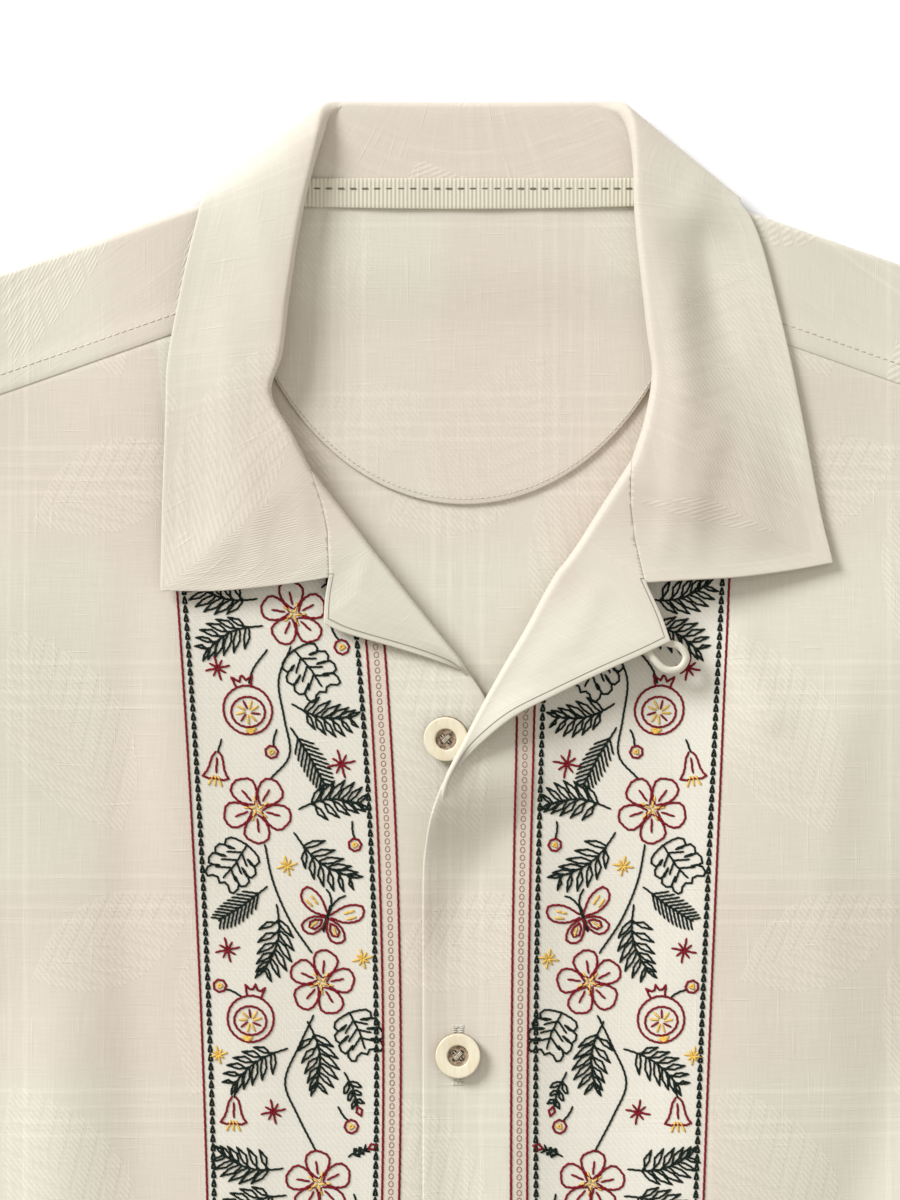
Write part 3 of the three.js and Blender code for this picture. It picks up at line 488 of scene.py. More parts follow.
class Finish:
    """One material, made node by node."""

    def __init__(self, name):
        self.material = bpy.data.materials.new(name)
        self.material.use_nodes = True
        self.tree = self.material.node_tree
        self.shader = self.tree.nodes["Principled BSDF"]

    def node(self, kind, values, inputs, output=0):
        """Adds a node of a type, with its settings and then its sockets' values or links."""
        made = self.tree.nodes.new(kind)
        for key, value in values.items():
            if key == "stops":
                while len(made.color_ramp.elements) > 1:
                    made.color_ramp.elements.remove(made.color_ramp.elements[-1])
                for i, (place, colour) in enumerate(value):
                    stop = made.color_ramp.elements[0] if i == 0 else made.color_ramp.elements.new(place)
                    stop.position = place
                    stop.color = (*colour, 1)
            else:
                setattr(made, key, value)
        for key, value in inputs.items():
            self.put(made.inputs[key], value)
        return Value(self, made.outputs[output])

    def put(self, socket, value):
        if isinstance(value, Value):
            self.tree.links.new(value.socket, socket)
        else:
            socket.default_value = value

    def set(self, **values):
        """Sets the shader's sockets, named with underscores for spaces."""
        for key, value in values.items():
            self.put(self.shader.inputs[key.replace("_", " ")], value)
        return self.material

    def cloth_place(self):
        """The cloth's own coordinates, in millimetres."""
        place = self.node("ShaderNodeUVMap", {"uv_map": "cloth"}, {})
        return [self.node("ShaderNodeSeparateXYZ", {}, {0: place}, i) * 1000 for i in (0, 1)]

    def object_place(self):
        return self.node("ShaderNodeTexCoord", {}, {}, 3)

    def vector(self, x, y, z=0.0):
        return self.node("ShaderNodeCombineXYZ", {}, {0: x, 1: y, 2: z})

    def noise(self, vector, scale, detail=2.0):
        return self.node("ShaderNodeTexNoise", {}, {"Vector": vector, "Scale": scale, "Detail": detail})

    def blend(self, factor, a, b):
        """A colour between a and b."""
        return self.node("ShaderNodeMix", {"data_type": "RGBA"}, {0: factor, 6: a, 7: b}, 2)

    def scaled(self, colour, factor):
        return self.node("ShaderNodeVectorMath", {"operation": "SCALE"}, {0: colour, "Scale": factor})

    def grey_ramp(self, value, stops):
        stops = [(place, (level,) * 3) for place, level in stops]
        return self.node("ShaderNodeValToRGB", {"stops": stops}, {0: value})

    def bump(self, height, distance, strength=1.0, normal=None):
        inputs = {"Height": height, "Distance": distance, "Strength": strength}
        if normal is not None:
            inputs["Normal"] = normal
        return self.node("ShaderNodeBump", {}, inputs)


def rgba(colour):
    return (*colour, 1.0)


EDGE_SEAM = 1.7                       # in from a lapel's free edge: a sunk seam line with painted shade
# Thin lines of the woven check across one repeat, and the broad change of ground.
CHECK_REPEAT = 76.0
CHECK_LINES = [
    (0.0, 0.5), (0.05, 0.5), (0.06, 0.72), (0.072, 0.72), (0.082, 0.45), (0.12, 0.45), (0.128, 0.7),
    (0.14, 0.7), (0.15, 0.46), (0.19, 0.46), (0.198, 0.66), (0.206, 0.66), (0.214, 0.5), (0.26, 0.48),
    (0.268, 0.74), (0.282, 0.74), (0.292, 0.5), (0.6, 0.52), (0.61, 0.6), (0.617, 0.6), (0.624, 0.5),
]
PALM_TILE = (118, 152)
PALMS = [                             # shift in the tile, angle, length, width and blade
    ((0.1, 0.2), 62, 92, 23, 8.5), ((0.62, 0.66), 118, 78, 20, 7.5), ((0.5, 0.12), 25, 60, 15, 6.5),
]
GROUND_STOPS = [(0.0, 0.2), (0.28, 0.25), (0.34, 0.75), (0.62, 0.8), (0.7, 0.35), (1.0, 0.2)]


def palm_patch(u, v, shift, angle, length, width, blade):
    """A woven palm leaf, once in each tile: 1 inside its blades."""
    turn = math.radians(angle)
    x, y = (((at / tile + moved).part() - 0.5) * tile for at, tile, moved in zip((u, v), PALM_TILE, shift))
    along = (x * math.cos(turn) + y * math.sin(turn)) / length + 0.5
    aside = abs(y * math.cos(turn) - x * math.sin(turn))
    edge = along * (1 - along) * 4 * width
    blades = (along * length / blade - aside * (1.15 / blade)).part()
    inside = (edge - aside).rise(-0.3, 0.5)
    return inside * blades.rise(0.08, 0.2) * (1 - blades.rise(0.8, 0.94))


def silk(name, bands=None, check=1.0, patches=1.0, shaded_edge_seam=False, leaf_shift=(0.0, 0.0)):
    """Slubbed silk with a woven check and palm patches, and on the fronts the ground of the bands."""
    cloth = settings()
    finish = Finish(name)
    u, v = finish.cloth_place()
    warp = finish.noise(finish.vector(u * 1.5, v * 0.09), 1.0, 4.0)
    weft = finish.noise(finish.vector(u * 0.08 + 31, v * 1.5), 1.0, 4.0)
    slub = finish.noise(finish.vector(u * 0.05, v * 0.9 + 57), 1.0, 2.0).rise(0.62, 0.78)
    slub_up = finish.noise(finish.vector(u * 0.8 + 83, v * 0.035), 1.0, 2.0).rise(0.6, 0.78)
    check_u = finish.grey_ramp((u / CHECK_REPEAT + 0.2).part(), CHECK_LINES)
    check_v = finish.grey_ramp((v / (CHECK_REPEAT * 0.94) + 0.42).part(), CHECK_LINES)
    ground = finish.grey_ramp((u / (CHECK_REPEAT * 2) + 0.1).part(), GROUND_STOPS) * 0.5 + finish.grey_ramp(
        (v / (CHECK_REPEAT * 2.3) + 0.966).part(), GROUND_STOPS) * 0.4
    cloudy = finish.noise(finish.vector(u * 0.012, v * 0.012, 4.0), 1.0, 2.0)
    warmth = (ground + cloudy * 0.4).rise(0.2, 0.85)
    colour = finish.blend(warmth, rgba(cloth.silk_cool), rgba(cloth.silk_warm))
    leaf_u, leaf_v = u + leaf_shift[0], v + leaf_shift[1]
    first, second, third = (palm_patch(leaf_u, leaf_v, *palm) for palm in PALMS)
    leaf = first + second + third
    twill = abs((u * 0.52 + v * 0.44).part() - 0.5) * 2
    grain = warp * 0.5 + weft * 0.5
    lines = (check_u + check_v - 1.0) * check
    marks = leaf * patches
    if bands:
        inside, ladder = band_masks(u, v, bands)
        colour = finish.blend(inside * 0.75, colour, rgba(cloth.band_ground))
        colour = finish.blend(ladder, colour, rgba(cloth.ladder_ground))
        lines = lines * (1 - inside * 0.7)
        marks = marks * (1 - inside) * (1 - ladder) + inside * 0.55
    tone = grain * 0.24 + lines * 0.19 + slub * 0.05 + slub_up * 0.04 + marks * (0.105 - twill * 0.13)
    colour = finish.scaled(colour, tone + 0.875)
    height = grain * 0.7 + lines * 0.7 + slub * 0.4 + slub_up * 0.3 + marks * (twill * 0.55 - 0.1)
    # Painted shade along the lapel's seam groove: the colour darkens where the height sinks.
    if shaded_edge_seam:
        seam = 1 - abs(u - EDGE_SEAM).rise(0.0, 0.45)
        colour = finish.scaled(colour, 1 - seam * 0.3)
        height = height - seam * 2.2
    normal = finish.bump(height, 0.00018, 0.85)
    rough = 0.66 - marks * 0.14 + grain * 0.08
    return finish.set(
        Base_Color=colour, Roughness=rough, Normal=normal, Sheen_Weight=0.22, Sheen_Roughness=0.42,
        Specular_IOR_Level=0.32,
    )


def band_line(values):
    """The constants of the curve of a band line: x = a + b y + c y^2 down to the last level."""
    c, b, a = np.polyfit(BAND_LEVELS, values, 2)
    return a, b, c


def band_x(values, y):
    """A band line's x at a height, straight on below the last level."""
    a, b, c = band_line(values)
    level = np.maximum(y, BAND_LEVELS[2])
    return a + b * level + c * level * level


def band_masks(u, v, bands):
    """Where the embroidered ground and the ladder strip lie on a front."""
    level = v.maths("MAXIMUM", BAND_LEVELS[2])
    square = level * level

    def past(line):
        a, b, c = band_line(bands[line])
        return u - (level * b + square * c + a)

    sign = -1 if bands["outer_red"][0] < 0 else 1
    outer, inner = past("outer_red") * sign, past("inner_chain") * sign
    inside = (outer * -1).rise(-0.2, 0.2) * inner.rise(-1.4, -1.0)
    first, second = past("red_1") * sign, past("red_2") * sign
    if sign > 0:
        ladder = first.rise(0.0, 0.4) * (second * -1).rise(0.0, 0.4)
    else:
        ladder = (first * -1).rise(0.0, 0.4) * second.rise(0.0, 0.4)
    return inside, ladder


def thread_finish(name, colour, gloss=0.45):
    """Twisted embroidery thread."""
    finish = Finish(name)
    place = finish.object_place()
    fibre = finish.noise(place, 2600.0, 2.0)
    uneven = finish.noise(place, 160.0, 2.0)
    tone = fibre * 0.5 + uneven * 0.5 + 0.5
    shade = finish.scaled(colour, tone)
    return finish.set(
        Base_Color=shade, Roughness=0.75 - fibre * 0.4 * gloss, Normal=finish.bump(fibre, 0.00006),
        Specular_IOR_Level=0.22,
    )


# ---- stitches ------------------------------------------------------------------------------------
def stitches(name, starts, ends, width, height):
    """Short tapered threads from starts to ends, four-sided, all in one mesh."""
    starts, ends = np.asarray(starts, float), np.asarray(ends, float)
    along = ends - starts
    side = unit(np.cross(along, (0, 0, 1.0)))
    width = np.broadcast_to(width, len(starts))[:, None]
    rings = []
    for k, size in ((0.0, 0.45), (0.22, 1.0), (0.78, 1.0), (1.0, 0.45)):
        middle = starts + along * k + (0, 0, height * 0.35 * math.sin(math.pi * k))
        for across, up in ((-0.5, 0.0), (0.0, 1.0), (0.5, 0.0), (0.0, -0.6)):
            rings.append(middle + side * width * across * size + np.array((0, 0, height * up * size)))
    points = np.stack(rings, 1)
    one = []
    for ring in range(3):
        for i in range(4):
            a, b = ring * 4 + i, ring * 4 + (i + 1) % 4
            one.append((a, b, b + 4, a + 4))
    one += [(3, 2, 1, 0), (12, 13, 14, 15)]
    faces = (np.arange(len(points))[:, None, None] * 16 + np.array(one)[None, ::]).reshape(-1, 4)
    return new_piece(name, points.reshape(-1, 3), faces[:, ::-1])


def stitch_line(points, pitch, share=1.25, slant=0.0):
    """Starts and ends of stitches along a line of plan or space points."""
    line = resample(points, pitch)
    step = np.diff(line, axis=0)
    middle = (line[1:] + line[:-1]) / 2
    turned = step.copy()
    turned[:, 0] = step[:, 0] * math.cos(slant) - step[:, 1] * math.sin(slant)
    turned[:, 1] = step[:, 0] * math.sin(slant) + step[:, 1] * math.cos(slant)
    return middle - turned * share / 2, middle + turned * share / 2


def on_cloth(points, underside, lift=0.12):
    """Plan points raised onto the top of a cloth piece."""
    points = np.asarray(points, float)
    x, y = points[..., 0], points[..., 1]
    thickness = settings().cloth_thickness * 1000
    return np.stack([x, y, underside(x, y) + CLOTH / 2 + thickness / 2 + lift], -1)


# ---- body pieces -------------------------------------------------------------------------------
def back_grid():
    """The back, its turn over the shoulders and its forward strips to the front seams."""
    u = np.sign(np.linspace(-1, 1, 137)) * np.abs(np.linspace(-1, 1, 137)) ** 0.92
    rows, maps = [], []
    top = float(shoulder_y(HALF_SHOULDER))
    for w in np.linspace(0, 0.985, 150):
        x = u * armhole_x(mix(-LENGTH, top, w))
        y = mix(-LENGTH, shoulder_y(x), w)
        inner = ramp((280 - np.abs(x)) / 50) * ramp((-110 - y) / 60) * ramp((y + LENGTH - 10) / 50)
        rows.append(np.stack([x, y, back_lift(x, y) + CLOTH / 2 + inner * fold_sum(BACK_CREASES, x, y)], -1))
        maps.append(np.stack([x, y], -1))
    x = u * HALF_SHOULDER
    y = shoulder_y(x)
    low, high = back_lift(x, y) + CLOTH / 2, lower_front(x, y) + CLOTH / 2
    radius = (high - low) / 2
    for degrees in range(-90, 91, 15):
        turn = math.radians(degrees)
        reach = radius * (math.cos(turn) - 1) - CLOTH / 2
        rows.append(np.stack([x, y + reach, low + radius * (1 + math.sin(turn))], -1))
        maps.append(np.stack([x, y + radius * turn], -1))
    end_x = seam_end()[0]
    for k in np.linspace(0.1, 1, 18):
        x = u * mix(HALF_SHOULDER, end_x, k)
        y = shoulder_y(x) - YOKE_DROP * k
        felled = 0.4 * ramp((k - 0.74) / 0.12)
        rows.append(np.stack([x, y, lower_front(x, y) + CLOTH / 2 + felled], -1))
        maps.append(np.stack([x, shoulder_y(x) + YOKE_DROP * k], -1))
    return np.array(rows), np.array(maps)


def base_of(row):
    """The seam point of a collar row, or the end of the under layer of a lapel row."""
    fold, edge = np.array(row[:2], float), np.array(row[2:4], float)
    if row[4] is not None:
        return np.array(row[4:6], float)
    reach = float(np.linalg.norm(edge - fold))
    return fold + (edge - fold) / reach * min(STAND_TUCK, reach * 0.8)


def front_inner(rows, placket, side):
    """Inner edge of a front: up the placket, then under the roll to the shoulder seam."""
    points = [np.array(point, float) for point in placket]
    for row in rows:
        share = 0.5 if row[4] is None else 0.74
        point = mix(np.array(row[:2], float), base_of(row), share)
        if points[-1][1] + 1 < point[1] < -44:
            points.append(point)
    x = 73.5 * side
    points.append(np.array((x, shoulder_y(x) - YOKE_DROP - SEAM_GAP)))
    return resample(spline(points, 8), 3.6)


PLACKET_LEVELS = [-LENGTH, -700, -640, -580, -520, -460, -400, -350, -300, -262, -228]
LOWER_PLACKET = [(UNDERLAP_EDGE, y) for y in PLACKET_LEVELS]
LOWER_PLACKET += [(UNDERLAP_EDGE, -203), (11, -182), (7, -166.5), (2.2, -158.6)]
UPPER_PLACKET = [(OVERLAP_EDGE, y) for y in PLACKET_LEVELS]
UPPER_PLACKET += [(-13.2, -217), (-11.4, -205.5), (-9, -197.6)]


def front_grid(rows, placket, side, underside):
    inner = front_inner(rows, placket, side)
    seam_top = float(shoulder_y(seam_end()[0])) - YOKE_DROP - SEAM_GAP
    y = inner[:, 1]
    top = np.minimum(seam_top, mix(UNDERARM_Y, seam_top, (y - UNDERARM_Y) / (-43 - UNDERARM_Y)))
    outer_y = np.where(y < UNDERARM_Y, y, top)
    outer = np.stack([side * armhole_x(outer_y), outer_y], -1)
    shares = (np.linspace(0, 1, 78) ** 1.15)[None, :, None]
    plan = inner[:, None] * (1 - shares) + outer[:, None] * shares
    z = underside(plan[..., 0], plan[..., 1]) + CLOTH / 2
    return np.dstack([plan, z]), plan


def facing_edge(x):
    """The facing's lower edge."""
    return -100 * np.sqrt(1 - (2 * x / 156) ** 2)


def facing_grid():
    """The half-moon facing inside the back of the neck."""
    x = 74 * np.sin(math.pi * (np.linspace(0, 1, 61) - 0.5))[:, None]
    k = np.linspace(0, 1, 34)[None, :]
    top, bottom = NECKLINE_Y - 0.2, facing_edge(x)
    y = mix(top, bottom, k)
    x = x + 0 * y
    z = back_lift(x, y) + CLOTH + SEAM_GAP + 0.5
    return np.stack([x, y, z], -1), np.stack([x * 1.02 + 40, y - 18], -1)


def tape_seat(x):
    """What the tape lies on, which rises to the collar's folds at its ends."""
    return 4.65 + 0.45 * ramp((np.abs(x) - 38) / 16)


def tape_grid():
    x = np.linspace(-56.5, 59, 92)[:, None]
    k = np.linspace(0, 1, 9)[None, :]
    y = mix(-0.6 - (1 - (x / 60) ** 2), 8.0, k)
    x = x + 0 * y
    z = tape_seat(x) + 0.4 + 0.12 * np.sin(x * 0.21)
    return np.stack([x, y, z], -1), np.stack([x, y], -1)


def tape_finish():
    """Ribbed cotton tape, with painted shade in the grooves between its ribs."""
    cloth = settings()
    finish = Finish("ribbed tape")
    u, v = finish.cloth_place()
    rib_grooves_and_shade = abs((u / 1.35).part() - 0.5) * 2
    grain = finish.noise(finish.vector(u * 1.6, v * 2.4), 1.0, 3.0)
    # Painted shade: the colour darkens in the grooves between the ribs, where the bump sinks; the grain's
    # darker flecks are the tape's own.
    shade = finish.blend(rib_grooves_and_shade * 0.6 + grain * 0.3, rgba(cloth.tape_colour), (0.56, 0.5, 0.38, 1))
    normal = finish.bump(1 - rib_grooves_and_shade + grain * 0.4, 0.00022)
    return finish.set(Base_Color=shade, Roughness=0.8 - grain * 0.1, Normal=normal, Sheen_Weight=0.1)


# ---- collar --------------------------------------------------------------------------------------
def hermite(start, start_slope, end, end_slope, k):
    k = k[None, :, None]
    start, start_slope, end, end_slope = (v[:, None, :] for v in (start, start_slope, end, end_slope))
    return (
        start * (2 * k**3 - 3 * k**2 + 1) + start_slope * (k**3 - 2 * k**2 + k)
        + end * (3 * k**2 - 2 * k**3) + end_slope * (k**3 - k**2)
    )


def collar_grid(per=8):
    """The rolled strip of collar and lapels: seam, stand, roll and fall of each row."""
    table = RIGHT_ROWS + [BACK_ROW] + LEFT_ROWS[::-1]
    last = len(table) - 1
    tips = set(RIGHT_TIPS) | {last - i for i in LEFT_TIPS}
    # fold, edge, seam, radius, lift, turn, rise of the stand, clearance, and 1 where the fall holds up
    numbers = [
        [*row[:4], *base_of(row), *row[6:], 0.0 if row[4] is None else 0.9, 1.6 if row[4] is None else 1.0,
         1.0 if row[0] > 0 and row[4] is not None and row[1] < -5 else 0.0]
        for row in table
    ]
    for i, factor in enumerate(TAIL_CLEARANCE):
        numbers[i][10] = numbers[last - i][10] = factor
    rows = spline(numbers, per, tips)
    fold, edge_plan, seam = rows[:, 0:2], rows[:, 2:4], rows[:, 4:6]
    radius, lift, stand_rise = rows[:, 6], rows[:, 7], rows[:, 9]
    turn = np.radians(np.clip(rows[:, 8], 0, 180))
    clear = rows[:, 10] * SEAM_GAP + COLLAR_CLOTH / 2
    side = np.where(np.arange(len(rows)) <= len(RIGHT_ROWS) * per, 1.0, -1.0)
    zero = np.zeros(len(rows))
    o = unit(edge_plan - fold)
    out = np.stack([o[:, 0], o[:, 1], zero], -1)
    aside = np.stack([o[:, 1] * side, -o[:, 0] * side, zero], -1)
    under = (1 - np.cos(turn)) / 2
    fall_side = np.stack([zero, zero, np.cos(turn)], -1) + aside * np.sin(turn)[:, None]
    seam_top = front_top(seam[:, 0], seam[:, 1]) + clear
    base = np.column_stack([seam, mix(seam_top, BASE_BACK_Z, under)])
    centre = np.column_stack([fold, mix(seam_top + stand_rise + radius, FALL_UNDER_Z + radius, under)])
    plan_radius = radius * mix(ROLL_WIDTH, 1.0, under)
    centre = centre + out * (plan_radius + COLLAR_CLOTH / 2)[:, None]
    stand_end = centre - fall_side * radius[:, None]
    fall_start = centre + fall_side * radius[:, None]
    edge_z = mix(front_top(edge_plan[:, 0], edge_plan[:, 1]) + clear + lift, FALL_UNDER_Z, under)
    edge = np.column_stack([edge_plan, edge_z]) + aside * (CREASE_REACH * np.sin(turn))[:, None]
    stand_length = np.linalg.norm(base - stand_end, axis=1)[:, None]
    fall_length = np.linalg.norm(edge - fall_start, axis=1)[:, None]
    stand = hermite(base, stand_end - base, stand_end, -out * stand_length, np.linspace(0, 1, 9))
    angles = np.radians(np.linspace(-90, 90, 11)[1:-1])
    roll = (centre[:, None] - out[:, None] * (plan_radius[:, None] * np.cos(angles))[..., None]
            + fall_side[:, None] * (radius[:, None] * np.sin(angles))[..., None])
    k = np.linspace(0, 1, 34)
    fall = hermite(fall_start, out * fall_length * 0.8, edge, out * fall_length * 0.8, k)
    run = np.linalg.norm(fall[..., :2] - fall_start[:, None, :2], axis=-1)
    run = run / np.linalg.norm(edge[:, :2] - fall_start[:, :2], axis=1)[:, None]
    span = mix(0.5, 0.92, np.clip((-edge_plan[:, 1:] - 40) / 60, 0, 1))
    held_up = mix(fall_start[:, 2:], edge[:, 2:], ramp((run - 0.06) / span))
    fall[..., 2] = mix(fall[..., 2], held_up, rows[:, 11][:, None])
    soft = (np.sin(math.pi * np.clip(k * 1.15, 0, 1)) ** 0.7)[None, :] * (1 - under)[:, None]
    fall[..., 2] += fold_sum(LEAF_CREASES, fall[..., 0], fall[..., 1]) * soft
    grid = np.concatenate([stand, roll, fall], axis=1)
    across = np.cumsum(np.linalg.norm(np.diff(grid, axis=1), axis=-1), 1)
    across = np.concatenate([np.zeros((len(grid), 1)), across], 1)
    along = np.concatenate([[0], np.cumsum(np.linalg.norm(np.diff(fold, axis=0), axis=1))])
    cloth_map = np.stack([across[:, -1:] - across, np.repeat(along[:, None], grid.shape[1], 1)], -1)
    return grid, cloth_map


def widened(outline, x, y):
    return [(a + x, b + y) for a, b in outline]


# ---- sleeves -------------------------------------------------------------------------------------
# Height, place across the tube and its drift along it, width, and where the fold starts and fades in.
SLEEVE_FOLDS = [
    (2.4, 0.3, 0.1, 0.1, 0.0, 0.25), (2.0, 0.68, -0.08, 0.12, 0.0, 0.3),
    (0.7, 0.5, -0.16, 0.05, 0.1, 0.3), (0.6, 0.86, -0.05, 0.04, 0.8, -0.4),
]
SLEEVE_RISE = 1.4                     # of the whole top layer


def sleeve_grid(side):
    """A flattened tube: bottom layer, outer fold, top layer and inner fold."""
    angle = math.radians(SLEEVE_ANGLE)
    shoulder = np.array((HALF_SHOULDER, shoulder_y(HALF_SHOULDER)))
    cuff_top = shoulder + np.array((math.cos(angle), -math.sin(angle))) * SLEEVE_TOP
    cuff_low = cuff_top + np.array((-math.sin(angle), -math.cos(angle))) * CUFF_WIDTH
    radius = CLOTH / 2 + SEAM_GAP / 2
    middle = CLOTH + SEAM_GAP / 2
    spread = np.linspace(0.02, 0.98, 46)
    rows, maps = [], []
    for u in np.concatenate([np.linspace(0, 0.1, 6), np.linspace(0.13, 1, 44)]):
        def plan(k):
            held = np.clip(k, 0, 1)
            y = mix(shoulder[1], UNDERARM_Y, held)
            arm = np.stack([armhole_x(y) + SEAM_GAP, y], -1)
            beyond = (k - held)[:, None] * np.array((0.0, UNDERARM_Y - shoulder[1]))
            cuff = mix(cuff_top, cuff_low, k[:, None])
            return mix(arm + beyond * (u > 0), cuff, u)
        width = np.linalg.norm(plan(np.array([0.0]))[0] - plan(np.array([1.0]))[0])
        turn = np.radians(np.linspace(-75, 75, 7))
        near = (radius + CLOTH / 2) / width
        low = plan(spread)
        seat = ramp((u - 0.08) / 0.3) * ramp((0.97 - u) / 0.2)
        low_z = CLOTH / 2 + 0.5 * seat * np.exp(-(((spread - 0.4 - 0.1 * u) / 0.07) ** 2))
        high_k = spread[::-1]
        high = plan(high_k)
        fold = sum(
            rise * np.exp(-(((high_k - at - drift * u) / width) ** 2)) * ramp((u - start) / fade)
            for rise, at, drift, width, start, fade in SLEEVE_FOLDS
        )
        fold = fold + SLEEVE_RISE * ramp(high_k / 0.2) * ramp((1 - high_k) / 0.2)
        seated = lower_front(high[:, 0], high[:, 1]) + CLOTH / 2 - (middle + radius)
        window = ramp(high_k / 0.08) * ramp((1 - high_k) / 0.08)
        high_z = middle + radius + mix(np.maximum(seated, 0) * window, fold, ramp(u / 0.14))
        right = 1 - near + (radius / width) * np.cos(turn)
        left = near - (radius / width) * np.cos(turn)
        pieces = [
            (low, low_z), (plan(right), middle + radius * np.sin(turn)), (high, high_z),
            (plan(left), middle - radius * np.sin(turn)),
        ]
        ring = np.vstack([np.column_stack([p, z]) for p, z in pieces])
        ring[:, 0] *= side
        rows.append(ring)
        girth = np.concatenate([[0], np.cumsum(np.linalg.norm(np.diff(ring, axis=0), axis=1))])
        maps.append(np.stack([girth + 20, np.full(len(ring), u * SLEEVE_TOP)], -1))
    return np.array(rows), np.array(maps)


# ---- embroidery motifs -----------------------------------------------------------------------
def turned(points, angle, place):
    """Points turned by an angle in degrees, then moved."""
    a = math.radians(angle)
    cosine, sine = math.cos(a), math.sin(a)
    x, y = np.asarray(points, float).T
    return np.stack([x * cosine - y * sine + place[0], x * sine + y * cosine + place[1]], -1)


def frond(place, angle, length, reach, bow=0.12):
    """A feathered palm frond: a bowed rib with a narrow loop for each blade."""
    lines = []
    k = np.linspace(0, 1, 14)
    rib = np.stack([k * length, bow * length * np.sin(math.pi * k)], -1)
    lines.append(rib)
    pairs = 6
    for i in range(1, pairs + 1):
        at = 0.06 + 0.86 / pairs * i
        root = np.array((at * length, bow * length * math.sin(math.pi * at)))
        size = reach * math.sin(math.pi * (0.16 + 0.74 * at)) ** 0.7
        for sign in (-1, 1):
            lean = math.radians(56 - 26 * at) * sign
            way = np.array((math.cos(lean), math.sin(lean)))
            off = np.array((-way[1], way[0])) * size * 0.13
            tip = root + way * size
            lines.append(np.array([root, root + way * size * 0.45 + off, tip]))
            lines.append(np.array([tip, root + way * size * 0.5 - off, root + np.array((1.1, 0))]))
    return [(turned(line, angle, place), "green") for line in lines]


def spray(place, angle, length, reach):
    """A needled spray: a rib with short single strokes leaning to its tip."""
    lines = [np.array([(0, 0), (length * 0.5, 0.5), (length, 0)])]
    for i in range(1, 11):
        at = 0.1 + 0.085 * i
        size = reach * math.sin(math.pi * (0.2 + 0.66 * at))
        for sign in (-1, 1):
            root = np.array((at * length, 0.4 * math.sin(math.pi * at)))
            lines.append(np.array([root, root + size * np.array((0.72, 0.62 * sign)) + (0, 0.2 * sign)]))
    return [(turned(line, angle, place), "green") for line in lines]


def pomegranate(place, angle, radius):
    """A round fruit with a crown, cut open on its seeds."""
    a = np.radians(np.linspace(0, 360, 21))
    ring = np.stack([np.cos(a), np.sin(a)], -1)
    crown = np.array([
        (0.96, 0.3), (1.42, 0.44), (1.16, 0.14), (1.5, 0.0), (1.16, -0.14), (1.42, -0.44), (0.96, -0.3),
    ])
    cut = ring * (0.62, 0.7) - (0.08, 0)
    lines = [(ring * radius, "red"), (crown * radius, "red"), (cut * radius, "red")]
    for i in range(9):
        seed = turned(np.array([(0.16, 0), (0.46, 0)]) * radius, 40 * i + 12, (-0.08 * radius, 0))
        lines.append((seed, "gold" if i % 3 else "red"))
    for i in range(4):
        x = (-0.94 + 0.05 * i) * radius
        lines.append((np.array([(x, -0.16 - 0.08 * i), (x, 0.16 + 0.08 * i)]) * (1, radius * 0.5), "gold"))
    return [(turned(line, angle, place), colour) for line, colour in lines]


def butterfly(place, angle, size):
    """Open wings outlined in red, flecked with gold, on a green body."""
    upper = spline([(0.1, 0.06), (0.6, 0.5), (0.75, 1.05), (0.3, 1.1), (0.0, 0.62), (0.0, 0.1)], 4)
    lower = spline([(-0.05, 0.06), (-0.2, 0.55), (-0.62, 0.8), (-0.8, 0.4), (-0.45, 0.08), (-0.08, 0.02)], 4)
    spots = np.array([[(0.3, 0.5), (0.5, 0.78)], [(0.16, 0.66), (0.3, 0.9)], [(-0.3, 0.3), (-0.56, 0.48)]])
    feeler = np.array([(0.42, 0.02), (0.72, 0.12), (0.9, 0.34)])
    body = np.array([[(-0.55, 0), (0.42, 0)], [(-0.5, 0.05), (0.38, 0.05)]]) * size
    lines = [(line, "green") for line in body]
    for sign in (-1, 1):
        flip = np.array((1, sign)) * size
        lines += [(upper * flip, "red"), (lower * flip, "red"), (feeler * flip, "green")]
        lines += [(spot * flip, "gold") for spot in spots]
        lines += [((lower * 0.55 + (-0.16, 0.14)) * flip, "red")]
    return [(turned(line, angle, place), colour) for line, colour in lines]


def lobed_leaf(place, angle, length, width, colour="green"):
    """A broad leaf with cut lobes and a few veins."""
    outline = [(0, 0)]
    lobes = 4
    for i in range(lobes):
        a, b = i / lobes, (i + 0.55) / lobes
        swell = width * math.sin(math.pi * (0.2 + 0.62 * b)) ** 0.8
        outline += [
            (a * length * 0.9 + 0.6, swell * 0.62), (b * length * 0.93, swell),
            (b * length + 2.6, swell * 0.86), ((i + 0.95) / lobes * length * 0.92, swell * 0.36),
        ]
    half = spline([*outline, (length, 0)], 4)
    lines = [half, half * (1, -1), np.array([(0, 0), (length * 0.5, 0.6), (length * 0.86, 0)])]
    for i in range(1, 4):
        root = i * length / 5
        for sign in (-1, 1):
            lines.append(np.array([(root, 0), (root + width * 0.34, sign * width * 0.5)]))
    return [(turned(line, angle, place), colour) for line in lines]


def blossom(place, angle, radius, petals=5):
    """An open flower with rounded petals and gold stamens."""
    lines = []
    petal = [
        (0.16, 0.03), (0.42, 0.3), (0.82, 0.36), (1.0, 0.1), (0.95, -0.12), (0.78, -0.36), (0.4, -0.27),
        (0.16, -0.03),
    ]
    for i in range(petals):
        spin = angle + 360 / petals * i
        lines.append((turned(spline(petal, 4) * radius, spin, place), "red"))
        lines.append((turned(np.array([(0.3, 0.02), (0.66, 0.05)]) * radius, spin, place), "red"))
        lines.append((turned(np.array([(0.06, 0.0), (0.34, 0.1)]) * radius, spin + 34, place), "gold"))
    return lines


def star(place, radius, colour="red", rays=8):
    lines = []
    for i in range(rays):
        size = radius * (1.0 if i % 2 == 0 else 0.7)
        lines.append((turned(np.array([(0.35, 0), (size, 0)]), 360 / rays * i + 11, place), colour))
    return lines


